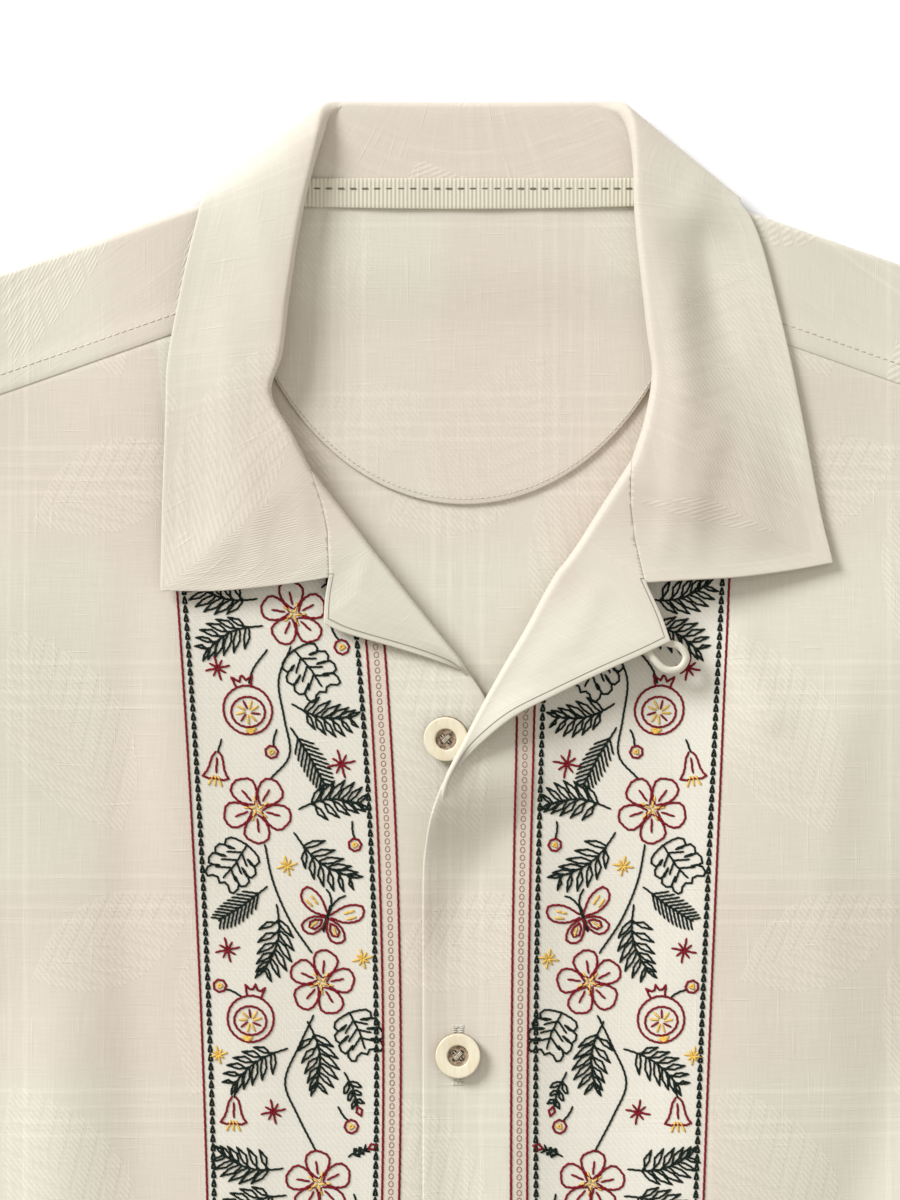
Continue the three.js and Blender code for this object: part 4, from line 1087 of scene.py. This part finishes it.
def berry(place, radius, stem_angle):
    """A round berry with a gold glint, on a short stem."""
    a = np.radians(np.linspace(0, 360, 13))
    ring = np.stack([np.cos(a), np.sin(a)], -1)
    lines = [(turned(ring * radius, 0, place), "red"), (turned(ring * radius * 0.42, 0, place), "gold")]
    stem = np.array([(radius, 0), (radius + 2.6, 0.7), (radius + 5.5, 0.4)])
    lines.append((turned(stem, stem_angle, place), "green"))
    return lines


def sprig(place, angle, length, colour="green"):
    """A thin stem with pairs of small pointed leaves and a bud."""
    lines = [(turned(np.array([(0, 0), (length * 0.5, 0.7), (length, 0)]), angle, place), colour)]
    for i in range(3):
        at = (0.28 + 0.26 * i) * length
        for sign in (-1, 1):
            size = length * (0.4 - 0.06 * i)
            blade = np.array([(0, 0), (0.5, 0.3), (1.0, 0.06), (0.5, -0.12), (0, 0)]) * size
            blade = turned(blade, 44 * sign, (at, 0))
            lines.append((turned(blade, angle, place), colour))
    bud = turned(np.array([(0, 0), (1.6, 1.1), (3.4, 0), (1.6, -1.1), (0, 0)]), 0, (length, 0))
    return [*lines, (turned(bud, angle, place), "red")]


def bell_flower(place, angle, length):
    """A hanging bell with a scalloped mouth and gold threads."""
    bell = spline([(0, 0.6), (0.22, 1.9), (0.6, 2.6), (0.86, 3.6), (1.0, 4.6)], 4) * (length, length / 9)
    mouth = [(1.0, 4.6), (1.08, 2.6), (1.0, 1.5), (1.12, 0), (1.0, -1.5), (1.08, -2.6), (1.0, -4.6)]
    mouth = spline(mouth, 3) * (length, length / 9)
    fold = np.array([(0.25 * length, 0), (0.8 * length, 0)])
    lines = [(bell, "red"), (bell * (1, -1), "red"), (mouth, "red"), (fold, "red")]
    for tilt in (-2.2, 0, 2.2):
        lines.append((np.array([(0.96 * length, tilt * 0.4), (1.32 * length, tilt)]), "gold"))
    lines.append((np.array([(-0.5 * length, 1.0), (-0.2 * length, 0.4), (0, 0)]), "green"))
    return [(turned(line, angle, place), colour) for line, colour in lines]


REPEAT = 190.0
LINE_PITCH, CHAIN_PITCH, EYELET_PITCH, VINE_PITCH = 2.5, 3.0, 2.6, 1.9
ROLL_CLEARANCE = 9.0
EYELET = (0.82, 1.02)                 # half width and half height
THREAD_HEIGHT = 0.34


def climbing_vine():
    """One repeat of the band's drawing: across -27 to 27, and from 0 down to minus the repeat."""
    lines = []
    lines += blossom((8, -15), 20, 11) + frond((-4, -10), 166, 21, 8.5)
    lines += frond((-3, -19), 204, 21, 8.5, -0.12) + sprig((18, -6), 22, 7)
    lines += lobed_leaf((7, -27), -56, 17, 8.5) + star((-19, -33), 4.0) + berry((23, -26), 2.5, 110)
    lines += pomegranate((-10, -47), 96, 8.2) + frond((5, -45), -12, 20, 8, -0.12)
    lines += spray((4, -53), -62, 22, 6.5)
    lines += bell_flower((-21, -61), 262, 8.5) + star((20, -65), 4.6) + berry((-3, -61), 2.2, 70)
    lines += blossom((-9, -80), 50, 11.5) + frond((5, -80), 4, 21, 8.5) + frond((3, -88), -38, 24, 8.5, -0.12)
    lines += lobed_leaf((-13, -92), 232, 16, 8) + star((0, -99), 3.2, "gold") + berry((23, -92), 2.2, 90)
    lines += butterfly((13, -116), 70, 9.5) + spray((-7, -106), 214, 20, 6.5)
    lines += frond((-4, -112), 256, 23, 8.5)
    lines += star((-21, -127), 4.0) + blossom((10, -138), 5, 11) + star((24, -130), 3.2, "gold")
    lines += pomegranate((-14, -150), 80, 7.8) + lobed_leaf((19, -148), -68, 15, 8)
    lines += berry((-24, -139), 2.2, -30) + frond((5, -151), -84, 22, 8.5)
    lines += frond((-2, -160), 214, 22, 8, -0.1) + star((-25, -162), 2.8, "gold")
    lines += bell_flower((-20, -176), 268, 8.5) + sprig((17, -168), -70, 12) + star((-7, -181), 4.0)
    lines += berry((19, -186), 2.3, 120)
    for stem in (
        [(6, -26), (1, -37), (2, -50), (3, -62), (-4, -70)], [(-9, -38), (-7, -33), (-2, -27)],
        [(-7, -92), (-5, -104), (0, -117), (7, -128)],
        [(7, -149), (2, -159), (-3, -171), (1, -182), (7, -194)],
    ):
        lines.append((spline(stem, 6), "green"))
    return lines


def band_embroidery(bands, underside, side, inner_limit):
    """Stitch starts and ends of one front's band by colour, clear of the lapel's roll."""
    found = {"red": [], "green": [], "gold": [], "eyelets": []}

    def keep(points):
        x, y = points[:, 0], points[:, 1]
        limit = np.interp(y, inner_limit[:, 1], inner_limit[:, 0])
        return (np.abs(x) < 240) & (side * (x - limit) > ROLL_CLEARANCE) & (y > BAND_BOTTOM) & (y < BAND_TOP)

    def add(colour, starts, ends):
        held = keep(starts) & keep(ends)
        found[colour].append((on_cloth(starts[held], underside), on_cloth(ends[held], underside)))

    y = np.arange(BAND_TOP, BAND_BOTTOM, -4.0)
    for line in ("outer_red", "red_1", "red_2"):
        points = np.stack([band_x(bands[line], y), y], -1)
        add("red", *stitch_line(points, LINE_PITCH, 1.3, 0.06))
    for line in ("outer_chain", "inner_chain"):
        points = resample(np.stack([band_x(bands[line], y), y], -1), CHAIN_PITCH)
        for sign in (-1, 1):
            foot = points[1:] + (0.72 * sign, 0.3)
            add("green", points[:-1], foot)
            add("green", foot, points[1:] + (-0.1 * sign, 0.75))
    centre = (band_x(bands["red_1"], y) + band_x(bands["red_2"], y)) / 2
    middle = resample(np.stack([centre, y], -1), EYELET_PITCH)
    found["eyelets"].append(middle[keep(middle)])
    outline = climbing_vine()
    for repeat in range(4):
        for points, colour in outline:
            t = points[:, 1] - repeat * REPEAT + BAND_TOP - 18
            centre = (band_x(bands["outer_chain"], t) + band_x(bands["inner_chain"], t)) / 2
            placed = np.stack([centre - side * points[:, 0], t], -1)
            add(colour, *stitch_line(placed, VINE_PITCH, 1.35, 0.1))
    return found


# ---- operators -----------------------------------------------------------------------------------
NECK_CUT = [
    (-69, 30), (-69, 0), (-71, -8), (-73, -20), (-73, -60),
    (74, -60), (74, -20), (72, -8), (69, 0), (69, 30),
]


class SHIRT_OT_back(Operator):
    """Make the back panel with its shoulder turns, cut out at the neck"""
    bl_idname = "shirt.back"
    bl_label = "Back"

    def execute(self, context):
        grid, cloth_map = back_grid()
        back = cloth_shell("back_cloth", grid, cloth_map, settings().cloth_thickness * 1000)
        cut(back, prism(NECK_CUT, BASE_BACK_Z, 40), "DIFFERENCE")
        cut(back, prism([(-69, NECKLINE_Y), (69, NECKLINE_Y), (69, 40), (-69, 40)], -5, 40), "DIFFERENCE")
        back.data.materials.append(silk("body silk"))
        finish_cloth(back, "back")
        return {"FINISHED"}


class SHIRT_OT_fronts(Operator):
    """Make the two fronts, the left one over the right"""
    bl_idname = "shirt.fronts"
    bl_label = "Fronts"

    def execute(self, context):
        thickness = settings().cloth_thickness * 1000
        sides = (
            ("front_right", RIGHT_ROWS, LOWER_PLACKET, -1, lower_front, BAND_LEFT),
            ("front_left", LEFT_ROWS, UPPER_PLACKET, 1, upper_front, BAND_RIGHT),
        )
        for node, rows, placket, side, underside, bands in sides:
            grid, plan = front_grid(rows, placket, side, underside)
            cloth = cloth_shell(node + "_cloth", grid, plan, thickness)
            cloth.data.materials.append(silk(node + " silk", bands))
            finish_cloth(cloth, node)
        return {"FINISHED"}


class SHIRT_OT_collar(Operator):
    """Make the collar and lapels from one rolled strip, parted along the gorge seams"""
    bl_idname = "shirt.collar"
    bl_label = "Collar and lapels"

    def execute(self, context):
        grid, cloth_map = collar_grid()
        strip = cloth_shell("collar_cloth", grid, cloth_map, settings().collar_thickness * 1000, DOUBLE_RIM)
        right, left = GORGE_RIGHT + LAPEL_RIGHT_REST, GORGE_LEFT + LAPEL_LEFT_REST
        lapels = []
        for name, outline in (("lapel_right", right), ("lapel_left", left)):
            lapel = copy_of(strip, name + "_cloth")
            cut(lapel, prism(outline, *CUTTER_SPAN), "INTERSECT")
            lapels.append(lapel)
        right = widened(GORGE_RIGHT, -SEAM_LINE, SEAM_LINE) + LAPEL_RIGHT_REST
        left = widened(GORGE_LEFT, SEAM_LINE, SEAM_LINE) + LAPEL_LEFT_REST
        for outline in (right, left):
            cut(strip, prism(outline, *CUTTER_SPAN), "DIFFERENCE")
        strip.data.materials.append(silk("collar silk", None, 0.5, 0.8, leaf_shift=(23.0, 101.6)))
        plain = silk("lapel silk", None, 0.2, 0.0, shaded_edge_seam=True)
        for lapel in lapels:
            lapel.data.materials.append(plain)
        finish_cloth(strip, "collar")
        finish_cloth(lapels[0], "lapel_right")
        finish_cloth(lapels[1], "lapel_left")
        return {"FINISHED"}


class SHIRT_OT_neck(Operator):
    """Make the half-moon facing and the ribbed tape inside the neck"""
    bl_idname = "shirt.neck"
    bl_label = "Neck facing and tape"

    def execute(self, context):
        grid, cloth_map = facing_grid()
        facing = cloth_shell("facing_cloth", grid, cloth_map, FACING_CLOTH)
        facing.data.materials.append(silk("facing silk", None, 0.8, 0.5))
        finish_cloth(facing, "neck_facing")
        grid, cloth_map = tape_grid()
        tape = cloth_shell("tape_cloth", grid, cloth_map, TAPE_CLOTH)
        tape.data.materials.append(tape_finish())
        finish_cloth(tape, "neck_tape")
        return {"FINISHED"}


class SHIRT_OT_sleeves(Operator):
    """Make the two short sleeves as flattened tubes"""
    bl_idname = "shirt.sleeves"
    bl_label = "Sleeves"

    def execute(self, context):
        thickness = settings().cloth_thickness * 1000
        for node, side in (("sleeve_right", -1), ("sleeve_left", 1)):
            grid, cloth_map = sleeve_grid(side)
            sleeve = cloth_shell(node + "_cloth", grid, cloth_map, thickness, closed=True)
            sleeve.data.materials.append(silk(node + " silk"))
            finish_cloth(sleeve, node)
        return {"FINISHED"}


AIM = (-0.005, 0.2307, 0.006)         # the stage is in metres
SENSOR = 36
VIEW_HEIGHT = 0.4
SKY_COLOUR = (1, 0.97, 0.925, 1)
LIGHTS = [                            # name, direction, spread, share of the key's strength, colour
    ("key light", (-1.32, 1.14, 0.95), 24, 1.0, (0.98, 1.01, 1.07)),
    ("fill light", (1.3, -0.3, 1.8), 60, 0.09, (1, 1, 1)),
]


class SHIRT_OT_stage(Operator):
    """Set the pale floor, the soft studio light and the camera straight above the collar"""
    bl_idname = "shirt.stage"
    bl_label = "Stage"

    def execute(self, context):
        look = settings()
        bpy.ops.mesh.primitive_plane_add(size=6, location=(0, 0, -0.0006))
        floor = context.active_object
        floor.name = "floor"
        finish = Finish("pale floor")
        cloudy = finish.noise(finish.object_place(), 3.0, 2.0)
        shade = finish.blend(cloudy, (0.9, 0.9, 0.9, 1), (0.93, 0.93, 0.93, 1))
        floor.data.materials.append(finish.set(Base_Color=shade, Roughness=0.9))
        camera_data = bpy.data.cameras.new("camera")
        camera_data.lens = SENSOR * look.camera_height / VIEW_HEIGHT
        camera_data.clip_end = 20
        camera = bpy.data.objects.new("camera", camera_data)
        camera.location = Vector(AIM) + Vector((0, 0, look.camera_height))
        context.collection.objects.link(camera)
        context.scene.camera = camera
        for name, place, spread, share, colour in LIGHTS:
            light_data = bpy.data.lights.new(name, "SUN")
            light_data.angle = math.radians(spread)
            light_data.energy = look.key_strength * share
            light_data.color = colour
            light = bpy.data.objects.new(name, light_data)
            light.location = Vector(AIM) + Vector(place)
            light.rotation_euler = (-Vector(place)).to_track_quat("-Z", "Y").to_euler()
            context.collection.objects.link(light)
        world = bpy.data.worlds.new("studio")
        world.use_nodes = True
        sky = world.node_tree.nodes["Background"]
        sky.inputs["Color"].default_value = SKY_COLOUR
        sky.inputs["Strength"].default_value = look.sky_strength
        context.scene.world = world
        context.scene.view_settings.view_transform = "Standard"
        return {"FINISHED"}


class ShirtSettings(PropertyGroup):
    """What a user would change: cloth, colours and light."""
    cloth_thickness: FloatProperty(
        name="Cloth thickness", description="Wall of one layer of cloth", default=0.001, unit="LENGTH")
    collar_thickness: FloatProperty(
        name="Collar thickness", description="Wall of the collar and lapels", default=0.0013, unit="LENGTH")
    silk_cool: FloatVectorProperty(
        name="Silk, cool", description="Greener part of the ground", default=(0.66, 0.63, 0.518),
        subtype="COLOR")
    silk_warm: FloatVectorProperty(
        name="Silk, warm", description="Pinker part of the ground", default=(0.648, 0.572, 0.476),
        subtype="COLOR")
    band_ground: FloatVectorProperty(
        name="Band ground", description="Cloth behind the embroidery", default=(0.675, 0.65, 0.555),
        subtype="COLOR")
    ladder_ground: FloatVectorProperty(
        name="Ladder ground", description="Strip of eyelets", default=(0.66, 0.56, 0.46), subtype="COLOR")
    tape_colour: FloatVectorProperty(
        name="Tape", description="Ribbed tape inside the neck", default=(0.72, 0.68, 0.53), subtype="COLOR")
    thread_red: FloatVectorProperty(
        name="Red thread", description="Lines and flowers", default=(0.2, 0.004, 0.012), subtype="COLOR")
    thread_green: FloatVectorProperty(
        name="Green thread", description="Chains and leaves", default=(0.004, 0.012, 0.007), subtype="COLOR")
    thread_gold: FloatVectorProperty(
        name="Gold thread", description="Stamens and glints", default=(0.74, 0.48, 0.10), subtype="COLOR")
    key_strength: FloatProperty(name="Key light", description="Strength of the main light", default=3.5)
    sky_strength: FloatProperty(name="Sky", description="Strength of the even light", default=0.56)
    camera_height: FloatProperty(
        name="Camera height", description="Distance from the cloth", default=1.6, unit="LENGTH")


class SHIRT_OT_embroidery(Operator):
    """Sew the bands: red lines, green chains, eyelets and the climbing vine"""
    bl_idname = "shirt.embroidery"
    bl_label = "Embroidery"

    def execute(self, context):
        look = settings()
        threads = {
            "red": thread_finish("red thread", tuple(look.thread_red)),
            "green": thread_finish("green thread", tuple(look.thread_green)),
            "gold": thread_finish("gold thread", tuple(look.thread_gold)),
            "eyelets": thread_finish("eyelet thread", (0.36, 0.27, 0.20)),
        }
        widths = {"red": 0.76, "green": 0.7, "gold": 0.8}
        sides = (
            ("right", BAND_LEFT, lower_front, -1, RIGHT_ROWS, LOWER_PLACKET),
            ("left", BAND_RIGHT, upper_front, 1, LEFT_ROWS, UPPER_PLACKET),
        )
        for name, bands, underside, side, rows, placket in sides:
            inner = front_inner(rows, placket, side)
            found = band_embroidery(bands, underside, side, inner)
            for colour, width in widths.items():
                starts = np.vstack([a for a, _ in found[colour]])
                ends = np.vstack([b for _, b in found[colour]])
                piece = stitches(f"{colour}_embroidery_{name}", starts, ends, width, THREAD_HEIGHT)
                trim(piece, threads[colour])
            spots = np.vstack(found["eyelets"])
            turns = np.radians(np.arange(0, 420, 60))
            oval = np.stack([EYELET[0] * np.cos(turns), EYELET[1] * np.sin(turns)], -1)
            starts = [on_cloth(spots + here, underside, 0.02) for here in oval[:-1]]
            ends = [on_cloth(spots + there, underside, 0.02) for there in oval[1:]]
            piece = stitches(f"eyelets_{name}", np.vstack(starts), np.vstack(ends), 0.36, 0.16)
            trim(piece, threads["eyelets"])
        return {"FINISHED"}


def button_places():
    """Centre and seat height of each button, top to bottom."""
    places = [(*TOP_BUTTON, float(lower_front(*TOP_BUTTON)) + CLOTH)]
    for i in range(4):
        x, y = SECOND_BUTTON[0], SECOND_BUTTON[1] - i * BUTTON_PITCH
        places.append((x, y, float(upper_front(x, y)) + CLOTH))
    return places


def horn_finish():
    """Mottled brown horn of a button's well and underside."""
    finish = Finish("mottled horn")
    place = finish.object_place()
    cloudy = finish.noise(place, 900.0, 3.0).rise(0.35, 0.65)
    flecks = finish.noise(place, 2600.0, 2.0).rise(0.5, 0.7)
    shade = finish.blend(cloudy, (0.10, 0.058, 0.030, 1), (0.40, 0.29, 0.18, 1))
    shade = finish.blend(flecks * 0.6, shade, (0.56, 0.45, 0.32, 1))
    return finish.set(Base_Color=shade, Roughness=0.42 + flecks * 0.2, Normal=finish.bump(flecks, 0.00008))


def ivory_finish():
    """Polished cream face of a button, faintly streaked."""
    finish = Finish("cream button face")
    place = finish.node("ShaderNodeMapping", {}, {0: finish.object_place(), 3: (1.0, 0.25, 1.0)})
    streaks = finish.noise(place, 700.0, 3.0)
    shade = finish.blend(streaks.rise(0.3, 0.8), (0.80, 0.73, 0.55, 1), (0.72, 0.62, 0.42, 1))
    return finish.set(Base_Color=shade, Roughness=0.3 + streaks * 0.12, Coat_Weight=0.15)


BUTTON_THICK = 0.003                  # the button is turned in metres
RIM, DISH, WELL_WALL = 0.0008, 0.0031, 0.0003
DISH_DEPTH, WELL_DEPTH = 0.0001, 0.0009
WELL_RADIUS = 0.00352
HOLE_RADIUS, HOLE_RING = 0.00072, 0.0017
TOP_TILT, TOP_LIFT = 11.0, 1.6        # the top button's, in degrees and millimetres
BUTTON_TILT = 1.2
THREAD_SPREADS = ((-0.28, 0.28), (0, 0), (0.28, -0.28))


class SHIRT_OT_buttons(Operator):
    """Turn one button, copy it to each place, and sew it on"""
    bl_idname = "shirt.buttons"
    bl_label = "Buttons"

    def execute(self, context):
        for other in context.selected_objects:
            other.select_set(False)
        bpy.ops.mesh.primitive_cylinder_add(
            vertices=64, radius=BUTTON_RADIUS / 1000, depth=BUTTON_THICK, location=(0, 0, BUTTON_THICK / 2))
        button = context.active_object
        bpy.ops.object.transform_apply(location=True)
        bpy.ops.object.mode_set(mode="EDIT")
        bpy.ops.mesh.select_mode(type="FACE")
        bpy.ops.mesh.select_all(action="DESELECT")
        bpy.ops.object.mode_set(mode="OBJECT")
        for polygon in button.data.polygons:
            polygon.select = polygon.normal.z > 0.9
        bpy.ops.object.mode_set(mode="EDIT")
        for inward, sunk in ((RIM, 0), (DISH, DISH_DEPTH), (WELL_WALL, WELL_DEPTH)):
            bpy.ops.mesh.inset(thickness=inward, depth=-sunk)
        bpy.ops.object.mode_set(mode="OBJECT")
        sharp = math.radians(50)
        apply_modifier(button, "BEVEL", width=0.0005, segments=4, limit_method="ANGLE", angle_limit=sharp)
        for degrees in (45, 135, 225, 315):
            a = math.radians(degrees)
            place = (HOLE_RING * math.cos(a), HOLE_RING * math.sin(a), BUTTON_THICK / 2)
            bpy.ops.mesh.primitive_cylinder_add(vertices=16, radius=HOLE_RADIUS, depth=0.008, location=place)
            cut(button, context.active_object, "DIFFERENCE")
        button.data.materials.clear()
        button.data.materials.append(ivory_finish())
        button.data.materials.append(horn_finish())
        for polygon in button.data.polygons:
            x, y, _ = polygon.center
            polygon.material_index = 1 if math.hypot(x, y) < WELL_RADIUS or polygon.normal.z < 0.4 else 0
            polygon.use_smooth = True
        only(button)
        bpy.ops.object.shade_smooth_by_angle(angle=math.radians(40))
        sewn = thread_finish("button thread", (0.62, 0.56, 0.44))
        for i, (x, y, z) in enumerate(button_places()):
            copy = copy_of(button, f"button_{i + 1}_turned")
            tilt = Matrix.Rotation(math.radians(TOP_TILT if i == 0 else BUTTON_TILT), 4, (1, -1, 0))
            lift = TOP_LIFT if i == 0 else SEAM_GAP
            placed = Matrix.Translation((x / 1000, (y + CENTRE_Y) / 1000, (z + lift) / 1000)) @ tilt
            copy.data.transform(placed)
            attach(copy, "root")
            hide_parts(f"button_{i + 1}")
            corners = np.array([(1.25, 1.25), (-1.25, 1.25), (-1.25, -1.25), (1.25, -1.25)])
            starts, ends = (
                [(*(corners[j] + spread), 2.2) for j in crossing for spread in THREAD_SPREADS]
                for crossing in ((0, 1), (2, 3))
            )
            thread = stitches(f"button_{i + 1}_thread", starts, ends, 0.42, 0.3)
            thread.data.transform(Matrix.Translation((0, -CENTRE_Y / 1000, 0)))
            thread.data.transform(placed)
            trim(thread, sewn)
        bpy.data.objects.remove(button)
        return {"FINISHED"}


class SHIRT_OT_loop(Operator):
    """Make the sewn cord loop on the upper lapel's tip"""
    bl_idname = "shirt.loop"
    bl_label = "Collar loop"

    def execute(self, context):
        route = np.array([
            (55.5, -141.5), (58.6, -146), (62.4, -151.6), (66.6, -155.4), (71.2, -155), (73.4, -151.4),
            (71.2, -147.8), (67, -146.4), (62.6, -144.2), (59.6, -140.4),
        ])
        held = np.array([8.6, 8.8, 8.8, 8.4, 8.0, 7.8, 8.0, 8.4, 8.8, 8.6])
        line = spline(np.column_stack([route, upper_front(route[:, 0], route[:, 1]) + CLOTH + held]), 10)
        way = unit(np.gradient(line, axis=0))
        side = unit(np.cross(way, (0, 0, 1.0)))
        up = np.cross(side, way)
        turns = np.radians(np.arange(0, 360, 20))
        radius = LOOP_CORD / 2 * (1 - 0.12 * np.abs(np.sin(turns + 0.4)) ** 8)
        ring = (side[:, None] * (radius * np.cos(turns))[None, :, None] * 0.96
                + up[:, None] * (radius * np.sin(turns))[None, :, None] * 0.9)
        points = (line[:, None] + ring).reshape(-1, 3)
        count, around = len(line), len(turns)
        index = np.arange(count * around).reshape(count, around)
        after = np.roll(index, -1, 1)
        faces = np.stack([index[:-1], after[:-1], after[1:], index[1:]], -1).reshape(-1, 4)
        u = np.repeat(np.cumsum(np.r_[0, np.linalg.norm(np.diff(line, axis=0), axis=1)]), around)
        cloth_map = np.stack([u, np.tile(turns * 1.3, count)], -1)
        caps = [tuple(index[0][::-1]), tuple(index[-1])]
        loop = new_piece("loop_cord", points, faces, cloth_map, caps)
        trim(loop, silk("loop silk", None, 0.0, 0.0))
        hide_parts("collar_loop")
        return {"FINISHED"}


class SHIRT_OT_sewing(Operator):
    """Sew the shoulder seams, facing, hems, buttonholes and the tape's dashes"""
    bl_idname = "shirt.sewing"
    bl_label = "Seams and buttonholes"

    def execute(self, context):
        cream = thread_finish("cream thread", (0.66, 0.60, 0.47))
        half = settings().cloth_thickness * 500
        end_x = seam_end()[0]
        parts = []

        def sew(plan, underside, pitch=2.5, share=0.78, extra=0.0):
            starts, ends = stitch_line(plan, pitch, share)
            parts.append((on_cloth(starts, underside, extra), on_cloth(ends, underside, extra)))

        for side in (-1, 1):
            x = side * np.linspace(77, end_x - 1.5, 60)
            sew(np.stack([x, shoulder_y(x) - YOKE_DROP + 6.2], -1), lower_front, extra=0.38)
        sew(np.array([(UNDERLAP_EDGE - 2, HEM_SEAM_Y), (-HALF_CHEST + 2, HEM_SEAM_Y)]), lower_front)
        sew(np.array([(OVERLAP_EDGE + 2, HEM_SEAM_Y), (HALF_CHEST - 2, HEM_SEAM_Y)]), upper_front)
        starts, ends = (np.vstack(found) for found in zip(*parts))
        trim(stitches("seam_stitches", starts, ends, 0.5, 0.2), cream)

        x = 72.8 * np.sin(math.pi * (np.linspace(0.02, 0.98, 90) - 0.5))
        y = facing_edge(x) + 1.5
        starts, ends = stitch_line(np.stack([x, y], -1), 1.9, 0.75)

        def raised(plan):
            return np.column_stack([plan, back_lift(plan[:, 0], plan[:, 1]) + CLOTH + SEAM_GAP + 0.98])

        trim(stitches("facing_stitches", raised(starts), raised(ends), 0.38, 0.14), cream)

        for side, name in ((-1, "right"), (1, "left")):
            grid, _ = sleeve_grid(side)
            row = grid[-6, 55:98]
            starts, ends = stitch_line(row + (0, 0, half + 0.05), 2.5, 0.78)
            trim(stitches(f"sleeve_stitches_{name}", starts, ends, 0.5, 0.2), cream)

        x = np.arange(-54.5, 57, 4.0)
        starts = np.stack([x, np.full(len(x), 4.9), tape_seat(x) + 0.84], -1)
        grey = thread_finish("taupe thread", (0.20, 0.165, 0.12))
        trim(stitches("tape_dashes", starts, starts + (2.3, 0, 0.02), 0.62, 0.2), grey)

        starts, ends = [], []
        for x, y, _ in button_places()[1:]:
            for dy in np.arange(-9.0, 9.1, 0.62):
                for sign in (-1, 1):
                    starts.append((x + sign * 0.35, y + dy))
                    ends.append((x + sign * 1.9, y + dy + 0.12))
            for dx in np.arange(-1.8, 1.9, 0.45):
                for sign in (-1, 1):
                    starts.append((x + dx, y + sign * 9.0))
                    ends.append((x + dx * 0.9, y + sign * 10.2))
        starts, ends = on_cloth(starts, upper_front, 0.1), on_cloth(ends, upper_front, 0.1)
        white = thread_finish("buttonhole thread", (0.7, 0.665, 0.57))
        trim(stitches("buttonhole_stitches", starts, ends, 0.5, 0.2), white)
        return {"FINISHED"}


class SHIRT_PT_pieces(Panel):
    """Lists the shirt's pieces and settings in the sidebar"""
    bl_label = "Silk camp shirt"
    bl_idname = "SHIRT_PT_pieces"
    bl_space_type = "VIEW_3D"
    bl_region_type = "UI"
    bl_category = "Shirt"

    def draw(self, context):
        for operator in PIECES:
            self.layout.operator(operator.bl_idname)
        for name in ShirtSettings.__annotations__:
            self.layout.prop(context.scene.silk_shirt, name)


PIECES = (
    SHIRT_OT_stage, SHIRT_OT_back, SHIRT_OT_fronts, SHIRT_OT_collar, SHIRT_OT_neck, SHIRT_OT_sleeves,
    SHIRT_OT_embroidery, SHIRT_OT_buttons, SHIRT_OT_loop, SHIRT_OT_sewing,
)


def register():
    bpy.utils.register_class(ShirtSettings)
    for made in (*PIECES, SHIRT_PT_pieces):
        bpy.utils.register_class(made)
    bpy.types.Scene.silk_shirt = PointerProperty(type=ShirtSettings)


def unregister():
    del bpy.types.Scene.silk_shirt
    for made in (SHIRT_PT_pieces, *reversed(PIECES)):
        bpy.utils.unregister_class(made)
    bpy.utils.unregister_class(ShirtSettings)


def main():
    register()
    bpy.ops.shirt.stage()
    bpy.ops.shirt.back()
    bpy.ops.shirt.fronts()
    bpy.ops.shirt.collar()
    bpy.ops.shirt.neck()
    bpy.ops.shirt.sleeves()
    bpy.ops.shirt.embroidery()
    bpy.ops.shirt.buttons()
    bpy.ops.shirt.loop()
    bpy.ops.shirt.sewing()


if __name__ == "__main__":
    main()
